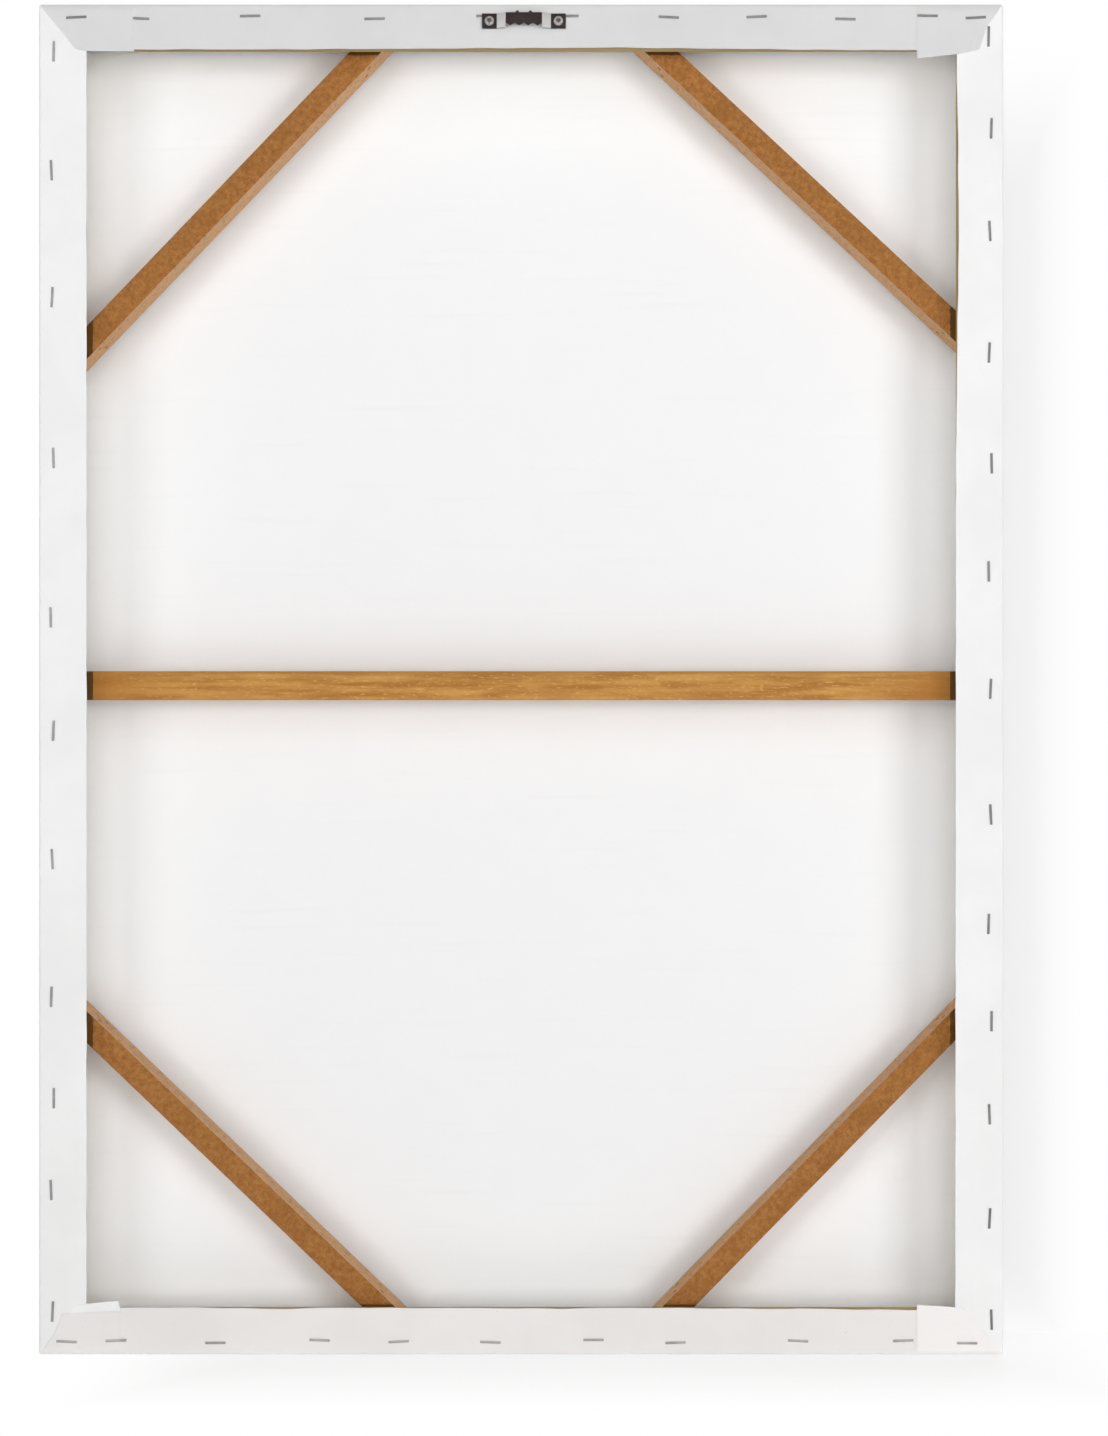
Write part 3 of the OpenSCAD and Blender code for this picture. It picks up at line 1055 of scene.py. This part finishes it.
    def columns(self, flap: Flap) -> tuple[np.ndarray, np.ndarray]:
        """Sets out the columns of a side.

        Args:
            flap: Its flap, whose doubled layers end at columns of their own.

        Returns:
            Places of the columns on the straight, and turns round the corners, which are
            0 on the straight.
        """
        half = self.half_length(flap.side)
        straight = half - self.corner_radius
        near = np.array(self.NEAR_COLUMNS) * MM
        ends = []
        for fold, sign in flap.folds:
            ends += list(sign * (straight - near))
            if fold.doubled:
                ends += [sign * (half - (fold.doubled + gap) * MM) for gap in self.LAYER_COLUMNS]
        inner = straight - near[-1] - self.step
        even = np.linspace(-inner, inner, int(2 * inner / self.step))
        middle = [t for t in even if min(abs(t - e) for e in ends) > self.step_least]
        places = np.array(sorted(middle + ends + [-straight, straight]))
        arc = np.radians([45, 30, 15])
        return (
            np.concatenate([np.full(3, -straight), places, np.full(3, straight)]),
            np.concatenate([-arc, np.zeros(len(places)), arc[::-1]]),
        )

    def profile(self) -> list[tuple[float, float, float]]:
        """Sets out a side's section.

        Returns:
            The rows from the front to the back edge, as inset, y and flat distance.
        """
        rf, rb, half = self.front_radius, self.back_radius, self.half_depth
        rows = [(self.front_lap, half, -self.front_lap), (rf, half, -rf)]
        for turn in np.radians([22.5, 45, 67.5, 90]):
            rows.append((rf - rf * math.sin(turn), half - rf + rf * math.cos(turn), rf * turn - rf))
        wall = 2 * half - rf - rb
        arc = rf * math.pi / 2 - rf
        for share in (0.25, 0.5, 0.75, 1.0):
            rows.append((0.0, half - rf - wall * share, arc + wall * share))
        for turn in np.radians([30, 60, 90]):
            y = -half + rb - rb * math.sin(turn)
            rows.append((rb - rb * math.cos(turn), y, arc + wall + rb * turn))
        return rows

    def lift(self, flap: Flap, along: np.ndarray, depth: np.ndarray) -> np.ndarray:
        """Works out how far a flap stands off the back of its bar.

        Args:
            flap: The flap.
            along: Places along its side.
            depth: Distances inwards from the outer face.

        Returns:
            Heights above the back plane.
        """
        half = self.half_length(flap.side)
        base = np.zeros(np.broadcast(along, depth).shape)
        for fold, sign in flap.folds:
            if not fold.lift:
                continue
            from_end = half - sign * along
            rounded = np.clip((from_end - between(fold.crease, depth)) / self.fold_run, 0, 1)
            bulge = np.sqrt(1 - (1 - rounded) ** 2)
            past = from_end - fold.doubled * MM + self.layer_end
            ended = 1 - ease(past / self.layer_slope)
            base += fold.lift * MM * bulge * ended * ease(depth / self.settle)
            for pleat in fold.pleats:
                gap = distance_to_line(pleat, from_end, depth) / self.pleat_width
                base += self.pleat_height * np.exp(-(gap ** 2)) * ended
        number = flap.side.number
        slack = sum(
            height * np.sin(along * length + depth * slant + shift * number)
            for height, length, slant, shift in self.SLACK)
        wave = np.sin(along * self.CURL_WAVE + 3 * number)
        curl = self.curl * (depth / FLAP_REACH) ** 3 * (1.1 + wave)
        return base + (slack + curl) * MM * ease(depth / self.settle - self.slack_from)

    def flap_rows(
        self, flap: Flap, along: np.ndarray, turn: np.ndarray, dents: Sequence[tuple[float, float]],
    ) -> list[tuple[np.ndarray, np.ndarray, np.ndarray]]:
        """Sets out a flap from the back edge to its cut edge.

        Args:
            flap: The flap.
            along: Places of its columns on the straight.
            turn: Their turns round the corners.
            dents: Where staples press it down, along the side and inwards.

        Returns:
            Rows of places along, distances inwards and heights above the back plane.
        """
        left = self.corner_radius - self.back_radius
        first = along + left * np.sin(turn)
        first_depth = self.corner_radius - left * np.cos(turn)
        rows = []
        for share in self.FLAP_ROWS:
            place = first
            # the cut edge's depth and the columns' shear depend on each other
            for _ in range(4):
                depth = first_depth + share * (self.cut_depth(flap, place) - first_depth)
                place = self.sheared(flap, first, first_depth, depth)
            height = self.lift(flap, place, depth)
            for spot_along, spot_depth in dents:
                du = (place - spot_along) / self.dent_size[0]
                dv = (depth - spot_depth) / self.dent_size[1]
                height = height - self.dent * np.exp(-(du ** 4) - dv * dv)
            rows.append((place, depth, height))
        return rows

    def cut_depth(self, flap: Flap, place: np.ndarray) -> np.ndarray:
        """Works out how far in a flap is cut.

        Args:
            flap: The flap.
            place: Places along its side.

        Returns:
            Distances inwards from the outer face.
        """
        half = self.half_length(flap.side)
        cut = FLAP_REACH - between(flap.shortfall, place)
        fine, coarse = self.FRAY_WAVES
        cut += self.fray * np.sin(place * fine) * np.sin(place * coarse + 1)
        for fold, sign in flap.folds:
            if fold.doubled:
                from_end = half - sign * place
                past = from_end - fold.doubled * MM - self.step_back
                near_end = 1 - ease(past / self.step_back)
                cut = cut * (1 - near_end) + between(fold.cut, from_end) * near_end
        return cut

    def sheared(
        self, flap: Flap, first: np.ndarray, first_depth: np.ndarray, depth: np.ndarray,
    ) -> np.ndarray:
        """Pushes columns near a flap's ends along with its mitre folds.

        Args:
            flap: The flap.
            first: Places of the columns at the back edge.
            first_depth: Their distances inwards there.
            depth: Their distances inwards in this row.

        Returns:
            Places of the columns in this row.
        """
        place = first.copy()
        from_end = self.half_length(flap.side) - np.abs(first)
        # each crease starts at the middle of the corner's round
        origin = self.corner_radius - (self.corner_radius - self.back_radius) * math.sqrt(0.5)
        fading = np.clip(1 - (from_end - origin) / (self.fade - origin), 0, 1)
        settled = np.clip((depth - first_depth) / self.settle, 0, 1)
        for fold, sign in flap.folds:
            shift = between(fold.crease, depth) - between(fold.crease, first_depth)
            start_gap = between(fold.crease, np.array([origin])) - origin
            moved = first - sign * (shift + start_gap * settled) * fading
            place = np.where(np.sign(first) == sign, moved, place)
        return place

    def build(self, staples: "StapleRows") -> bpy.types.Object:
        """Makes the sheet.

        Args:
            staples: The staples, which press the cloth down.

        Returns:
            The finished piece.
        """
        sheet = SheetMesh()
        front = []
        for flap in self.flaps():
            dents = [spot.on_side(flap.side, self) for spot in staples.places(flap.side)]
            front += sheet.add(*self.side_grid(flap, dents))[0, :-1].tolist()
        sheet.faces.append(front[::-1])
        patch = self.tucked_layer()
        sheet.add(patch, patch[..., [0, 2]], np.full(patch.shape, self.tuck_tone))
        piece = sheet.make("canvas_cloth")
        edit_selection(piece)
        bpy.ops.mesh.remove_doubles(threshold=self.merge)
        bpy.ops.object.mode_set(mode="OBJECT")
        piece.data.materials.append(PrimedCloth("primed_cloth").make())
        piece.data.materials.append(ClothReverse("cloth_reverse").make())
        apply_modifier(
            piece, "SOLIDIFY", thickness=self.thickness, offset=-1.0,
            material_offset=1, material_offset_rim=0,
        )
        bpy.ops.object.shade_smooth_by_angle(angle=math.radians(50))
        self.declare(piece)
        return piece

    def side_grid(self, flap: Flap, dents: Sequence[tuple[float, float]]) -> tuple[np.ndarray, ...]:
        """Sets out one side: its strip of front, its wall and its flap.

        Args:
            flap: The side's flap.
            dents: Where staples press it.

        Returns:
            The points, their flat coordinates and their tones, by row and column.
        """
        side = flap.side
        along, turn = self.columns(flap)
        points, flats, tones = [], [], []
        tone = np.array(flap.tone)
        for inset, y, distance in self.profile():
            radius = self.corner_radius - inset
            place = along + radius * np.sin(turn)
            on_wall = ease((self.half_depth - abs(y)) / self.wall_fade)
            depth = self.corner_radius - radius * np.cos(turn) - self.wall_bulge(side, place) * on_wall
            points.append(self.to_points(side, place, depth, y))
            flats.append(self.flat(side, place, -distance))
            back = ease((-y / self.half_depth - self.back_from) / (1 - self.back_from))
            tones.append(np.tile(1 + (tone - 1) * back, (len(place), 1)))
        for place, depth, height in self.flap_rows(flap, along, turn, dents)[1:]:
            points.append(self.to_points(side, place, depth, -self.half_depth - height))
            flats.append(self.flat(side, place, -(distance + depth - self.back_radius)))
            patch = np.ones(len(place))
            for fold, sign in flap.folds:
                past = self.half_length(side) - sign * place - fold.doubled * MM + self.tone_edge
                patch = patch + (fold.tone - 1) * (1 - ease(past / self.tone_edge))
            tones.append(tone * patch[:, None])
        return np.array(points), np.array(flats), np.array(tones)

    def wall_bulge(self, side: Side, place: np.ndarray) -> np.ndarray:
        """Works out how far a wall stands out, most where layers are folded in at the top.

        Args:
            side: The side.
            place: Places along it.

        Returns:
            Distances outwards.
        """
        wave = np.sin(place * self.WALL_WAVE)
        if side is not Side.TOP:
            return self.ripple * (wave - 1)
        from_end = self.half_length(side) - np.abs(place)
        near, far = self.wall_layer_ends
        rise, fall = self.wall_layer_slopes
        layers = ease((far - from_end) / fall) * ease((from_end - near) / rise)
        return self.ripple * wave + self.wall_layer * layers

    def flat(self, side: Side, place: np.ndarray, depth: Any) -> np.ndarray:
        """Returns flat coordinates, from places along a side and flat distances inwards."""
        inwards = np.broadcast_to(depth, place.shape) - self.half_across(side)
        return np.stack(side.lay(place, inwards), -1)

    def tucked_layer(self) -> np.ndarray:
        """Sets out the layer that shows beyond the bottom flap at the left.

        Returns:
            Its points, by row and column.
        """
        from_left = np.array(self.TUCK_COLUMNS) * MM
        share = np.array(self.TUCK_ROWS)[:, None]
        z = self.tuck_foot + share * (between(self.TUCK, from_left) - self.tuck_foot)
        low, raised, wavy = self.tuck_heights
        height = low + raised * share + wavy * np.sin(from_left * self.TUCK_WAVE)
        x = np.broadcast_to(from_left - self.width / 2, z.shape)
        return np.stack([x, -self.half_depth - height, z], -1)

    def declare(self, piece: bpy.types.Object) -> None:
        """Attaches the sheet to the body it rides on, reports it and hides the CAD node that it
        replaces.

        Args:
            piece: The finished piece.
        """
        dress(piece)
        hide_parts("canvas_sheet")


# ---- staples ----


@dataclass(frozen=True)
class StapleSpot:
    """Where one staple was driven: the middle of its crown and its turn in the back plane."""

    x: float
    z: float
    turn: float

    def on_side(self, side: Side, cloth: CanvasCloth) -> tuple[float, float]:
        """Returns its place along a side of the cloth and its distance inwards."""
        offset = np.array([self.x, self.z - cloth.height / 2])
        return float(offset @ side.along), float(offset @ side.inwards) + cloth.half_across(side)


@dataclass
class StapleRows:
    """The four rows of staples, copied from one modelled staple."""

    crown: float = 10.6 * MM
    wire_width: float = 1.25 * MM
    wire_thickness: float = 0.5 * MM
    leg: float = 8 * MM
    shoulder: float = 0.38 * MM
    edge: float = 0.09 * MM
    pressed: float = 0.1 * MM
    merge: float = 0.002 * MM
    slip: float = 0.01 * MM

    # one steel in four brightnesses, lightest on the bottom row and darkest on the right: painted
    # light and shade by side
    LIT_AND_SHADED_COLOURS = {
        Side.BOTTOM: paint(160, 158, 156), Side.RIGHT: paint(112, 112, 112),
        Side.TOP: paint(118, 116, 116), Side.LEFT: paint(136, 136, 136),
    }

    def places(self, side: Side) -> list[StapleSpot]:
        """Reads where a side's staples lie from its CAD node.

        Args:
            side: The side.

        Returns:
            The places, in order of the CAD's solids.
        """
        mesh = bmesh.new()
        mesh.from_mesh(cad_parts["staples_" + side.name.lower()].data)
        bmesh.ops.remove_doubles(mesh, verts=mesh.verts, dist=self.merge)
        spots = []
        todo = set(mesh.verts)
        while todo:
            island, queue = set(), [min(todo, key=lambda v: v.index)]
            while queue:
                vert = queue.pop()
                if vert not in island:
                    island.add(vert)
                    queue += [edge.other_vert(vert) for edge in vert.link_edges]
            todo -= island
            spots.append(self.spot([vert.co for vert in island]))
        mesh.free()
        return spots

    def spot(self, points: Sequence[Vector]) -> StapleSpot:
        """Reads one staple's place from the face of its crown.

        Args:
            points: The corners of its solid.

        Returns:
            The place.
        """
        outer = min(point.y for point in points)
        face = sorted((point for point in points if point.y < outer + self.slip), key=tuple)
        middle = sum(face, Vector()) / len(face)
        spans = [point - face[0] for point in face]
        far = max(spans, key=lambda span: span.length)
        short = [span for span in spans if span.length < 2 * self.wire_width]
        direction = far - max(short, key=lambda span: span.length)
        return StapleSpot(middle.x, middle.z, math.atan2(direction.z, direction.x))

    def model(self) -> bpy.types.Object:
        """Models one staple, its crown's inner face at y = 0 and its legs along +Y.

        Returns:
            The staple.
        """
        deselect_all()
        bpy.ops.mesh.primitive_cube_add(size=1)
        piece = bpy.context.object
        piece.name = "staple_pattern"
        crown, width, thick = self.crown, self.wire_width, self.wire_thickness
        bend = crown / 2 - thick
        piece.data.transform(
            Matrix.Translation((0, -thick / 2, 0)) @ Matrix.Diagonal((crown, thick, width, 1)))
        for sign in (-1, 1):
            edit_selection(piece)
            bpy.ops.mesh.bisect(plane_co=(sign * bend, 0, 0), plane_no=(1, 0, 0))
        edit_selection(
            piece, "FACE",
            lambda face: face.normal.y > 0.9 and abs(face.calc_center_median().x) > bend)
        bpy.ops.mesh.extrude_context_move(TRANSFORM_OT_translate={"value": (0, self.leg, 0)})
        edit_selection(piece, "EDGE", self.is_shoulder)
        bpy.ops.mesh.bevel(offset=self.shoulder, segments=4, affect="EDGES")
        edit_selection(
            piece, "EDGE", lambda edge: len(edge.link_faces) == 2 and edge.calc_face_angle(0) > 1.0)
        bpy.ops.mesh.bevel(offset=self.edge, segments=2, affect="EDGES")
        bpy.ops.object.mode_set(mode="OBJECT")
        bpy.ops.object.shade_smooth_by_angle(angle=math.radians(40))
        return piece

    def is_shoulder(self, edge: bmesh.types.BMEdge) -> bool:
        """Says whether an edge is one of the two outer bends of the crown.

        Args:
            edge: The edge.

        Returns:
            True for an outer bend.
        """
        ends = [vert.co for vert in edge.verts]
        across = abs(ends[0].z - ends[1].z) > self.wire_width / 2
        at_end = all(abs(abs(p.x) - self.crown / 2) < self.slip for p in ends)
        outside = all(abs(p.y + self.wire_thickness) < self.slip for p in ends)
        return across and at_end and outside

    def build(self, cloth: CanvasCloth) -> None:
        """Copies the staple to every place and joins each side's copies.

        Args:
            cloth: The cloth, on whose local height the staples lie.
        """
        pattern = self.model()
        for flap in cloth.flaps():
            side = flap.side.name.lower()
            copies = []
            for spot in self.places(flap.side):
                along, depth = (np.array([own]) for own in spot.on_side(flap.side, cloth))
                lift = float(cloth.lift(flap, along, depth)[0])
                seat = -cloth.half_depth - max(lift, 0) + self.pressed
                piece = add_object("staples_" + side + "_wire", pattern.data.copy())
                piece.data.transform(
                    Matrix.Translation((spot.x, seat, spot.z)) @ Matrix.Rotation(-spot.turn, 4, "Y"))
                copies.append(piece)
            make_active(*copies)
            bpy.ops.object.join()
            row = bpy.context.object
            row.name = "staple_row_" + side
            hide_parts("staples_" + side)
            # the row's grey carries the painted light and shade of its side
            wire = DullWire("staple_wire_" + side, self.LIT_AND_SHADED_COLOURS[flap.side])
            dress(row, wire.make())
        bpy.data.objects.remove(pattern)


# ---- wood ----


@dataclass
class StretcherBars:
    """The four bars, which keep their CAD shape under the cloth."""

    level: tuple[str, str] = ("stretcher_bar_bottom", "stretcher_bar_top")
    upright: tuple[str, str] = ("stretcher_bar_left", "stretcher_bar_right")

    def build(self) -> None:
        """Gives the bars pine with its grain along them."""
        for nodes, grain in ((self.level, Grain.LEVEL), (self.upright, Grain.UPRIGHT)):
            pine = Pine("pine_" + grain.name.lower(), grain).make()
            for node in nodes:
                redress(node, pine)


@dataclass
class Braces:
    """The four corner braces and the cross brace, with painted shade near and under the bars."""

    half_opening: float
    low: float
    high: float
    sanding: float = 0.3 * MM
    side_shade_reach: float = 0.8 * MM
    level_shade_reach: float = 2 * MM

    CORNERS = ("bottom_left", "top_left", "top_right", "bottom_right")

    def build(self) -> None:
        """Makes the braces with softened edges."""
        # where the edge of the painted shade under the bars sits
        half_width = self.half_opening - self.side_shade_reach
        board = Fibreboard(
            "fibreboard", half_width, self.low - self.level_shade_reach, self.high + self.level_shade_reach,
        ).make()
        for corner in self.CORNERS:
            piece = softened("corner_brace_" + corner, "brace_" + corner, self.sanding)
            dress(piece, board)
        low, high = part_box("cross_brace")
        wood = CrossBraceWood(
            "cross_brace_wood", half_width, (low.z + high.z) / 2, (high.z - low.z) / 2,
        ).make()
        dress(softened("cross_brace", "brace_cross", self.sanding), wood)


# ---- metal ----


@dataclass
class HangerSet:
    """The sawtooth hanger and its two screws."""

    hanger_edge: float = 0.14 * MM
    screw_edge: float = 0.08 * MM
    bar_half: float = 9.4 * MM
    pad: float = 7.7 * MM

    def build(self) -> None:
        """Makes the hanger and its screws."""
        low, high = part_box("sawtooth_hanger")
        lacquer = BlackLacquer(
            "black_lacquer", (low.x + high.x) / 2, self.bar_half, (high.x - low.x) / 2 - self.pad,
        ).make()
        strip = softened("sawtooth_hanger", "hanger_strip", self.hanger_edge)
        dress(strip, lacquer)
        for hand in ("left", "right"):
            low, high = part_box("hanger_screw_" + hand)
            axis = ((low.x + high.x) / 2, (low.z + high.z) / 2)
            screw = softened("hanger_screw_" + hand, "screw_" + hand, self.screw_edge)
            dress(screw, ZincPlate("zinc_plate_" + hand, axis).make())


@dataclass
class HiddenFasteners:
    """Brads, V nails and cross brace nails, which keep their CAD shape."""

    colour: Colour = paint(96, 92, 88)
    metallic: float = 0.7
    roughness: float = 0.45

    def build(self) -> None:
        """Gives the fasteners dull steel."""
        steel = DullWire("nail_steel", self.colour, self.metallic, self.roughness).make()
        for node in sorted(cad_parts):
            if node.startswith(("brads_", "v_nails_", "cross_brace_nails_")):
                redress(node, steel)


# ---- studio ----


@dataclass(frozen=True)
class SoftLamp:
    """A soft square lamp: its place, the length of its edges and its power in watts."""

    name: str
    at: tuple[float, float, float]
    size: float
    power: float

    def hang(self, target: Sequence[float]) -> bpy.types.Object:
        """Puts the lamp in the scene.

        Args:
            target: The point that it is aimed at.

        Returns:
            The lamp.
        """
        light = bpy.data.lights.new(self.name, "AREA")
        light.shape = "SQUARE"
        light.size = self.size
        light.energy = self.power
        lamp = add_object(self.name, light)
        lamp.location = self.at
        aim = Vector(target) - Vector(self.at)
        lamp.rotation_euler = aim.to_track_quat("-Z", "Y").to_euler()
        return lamp


@dataclass
class Studio:
    """The pale floor, the backdrop, the lamps and the camera."""

    floor_size: float = 8.0
    floor_drop: float = 0.1 * MM
    backdrop_gap: float = 6 * MM
    backdrop_middle: tuple[float, float] = (0.18, 0.55)
    backdrop_size: tuple[float, float] = (0.84, 1.1)
    floor_glow: float = 0.78
    backdrop_glow: float = 0.42
    camera_at: tuple[float, float, float] = (0.017, -1.170, 0.330)
    lens: float = 55.65
    sensor: float = 36.0
    middle: tuple[float, float, float] = (0, 0, 0.35)
    world_light: float = 0.08

    LAMPS = (
        SoftLamp("left_lamp", (-1.64, -2.3, 0.4), 1.1, 18.5),
        SoftLamp("right_lamp", (1.64, -2.3, 0.4), 1.1, 18.5),
        SoftLamp("top_lamp", (0, -2.2, 1.75), 1.5, 13.5),
        SoftLamp("under_lamp", (0, -2.2, -1.05), 1.5, 12.0),
        SoftLamp("front_lamp", (0, -2.7, 0.45), 1.2, 9.5),
        SoftLamp("face_lamp", (0.9, 2.4, 1.6), 2.0, 62.0),
    )
    FLOOR_FADES = ((1, -0.02, -0.12), (0, -0.13, -0.23), (0, 0.23, 0.32))
    BACKDROP_FADES = ((0, 0.262, 0.305), (2, 0.6, 0.7), (2, 0.035, -0.02))

    def build(self) -> None:
        """Sets up everything round the object."""
        pieces = [piece for piece in bpy.context.scene.objects if piece.type == "MESH"]
        self.surfaces()
        self.world()
        lamps = {lamp.name: lamp.hang(self.middle) for lamp in self.LAMPS}
        self.light_only(lamps["under_lamp"], pieces)
        self.camera()
        bpy.context.scene.view_settings.view_transform = "Standard"

    def surfaces(self) -> None:
        """Makes the floor and the one-sided backdrop close behind the object."""
        deselect_all()
        bpy.ops.mesh.primitive_plane_add(size=self.floor_size)
        floor = bpy.context.object
        floor.name = "floor"
        floor.data.transform(Matrix.Translation((0, 0, -self.floor_drop)))
        white = StudioWhite("floor_white", self.FLOOR_FADES, self.floor_glow)
        floor.data.materials.append(white.make())
        bpy.ops.mesh.primitive_plane_add(size=1)
        backdrop = bpy.context.object
        backdrop.name = "backdrop"
        x, z = self.backdrop_middle
        backdrop.data.transform(
            Matrix.Translation((x, CAD_BOX[1][1] + self.backdrop_gap, z))
            @ Matrix.Rotation(math.radians(90), 4, "X")
            @ Matrix.Diagonal((*self.backdrop_size, 1, 1)))
        white = StudioWhite("backdrop_white", self.BACKDROP_FADES, self.backdrop_glow, True)
        backdrop.data.materials.append(white.make())
        for kind in ("diffuse", "glossy", "transmission", "shadow"):
            setattr(backdrop, "visible_" + kind, False)

    def world(self) -> None:
        """Makes a white world that lights softly and is seen as white."""
        world = bpy.data.worlds.new("studio")
        bpy.context.scene.world = world
        tree = ShaderTree(world)
        sockets = {"Value": tree.seen(), "To Min": self.world_light, "To Max": 1.0}
        strength = tree.signal("ShaderNodeMapRange", sockets=sockets)
        sockets = {"Color": (1, 1, 1, 1), "Strength": strength}
        tree.end(tree.signal("ShaderNodeBackground", sockets=sockets), "World")

    def light_only(self, lamp: bpy.types.Object, pieces: Sequence[bpy.types.Object]) -> None:
        """Makes a lamp below the floor light the object and nothing else.

        Args:
            lamp: The lamp, whose light the floor then doesn't stop.
            pieces: The object's pieces.
        """
        lit = bpy.data.collections.new(lamp.name + "_lit")
        for piece in pieces:
            lit.objects.link(piece)
        lamp.light_linking.receiver_collection = lit
        lamp.light_linking.blocker_collection = lit

    def camera(self) -> None:
        """Sets the camera square to the back of the object."""
        data = bpy.data.cameras.new("camera")
        data.lens = self.lens
        data.sensor_width = self.sensor
        camera = add_object("camera", data)
        camera.location = self.camera_at
        camera.rotation_euler = (math.radians(90), 0, 0)
        bpy.context.scene.camera = camera


def main() -> None:
    """Builds the canvas piece by piece, and then the studio round it."""
    logging.basicConfig(level=logging.INFO, format="%(name)s: %(message)s")
    low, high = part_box("canvas_sheet")
    cloth = CanvasCloth(high.x - low.x, high.z - low.z, (high.y - low.y) / 2)
    staples = StapleRows()
    cloth.build(staples)
    staples.build(cloth)
    StretcherBars().build()
    low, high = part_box("stretcher_bar_bottom")
    bar_width = high.z - low.z
    inner = low.z + bar_width
    Braces(-(low.x + bar_width), inner, cloth.height - inner).build()
    HangerSet().build()
    HiddenFasteners().build()
    Studio().build()


if __name__ == "__main__":
    main()
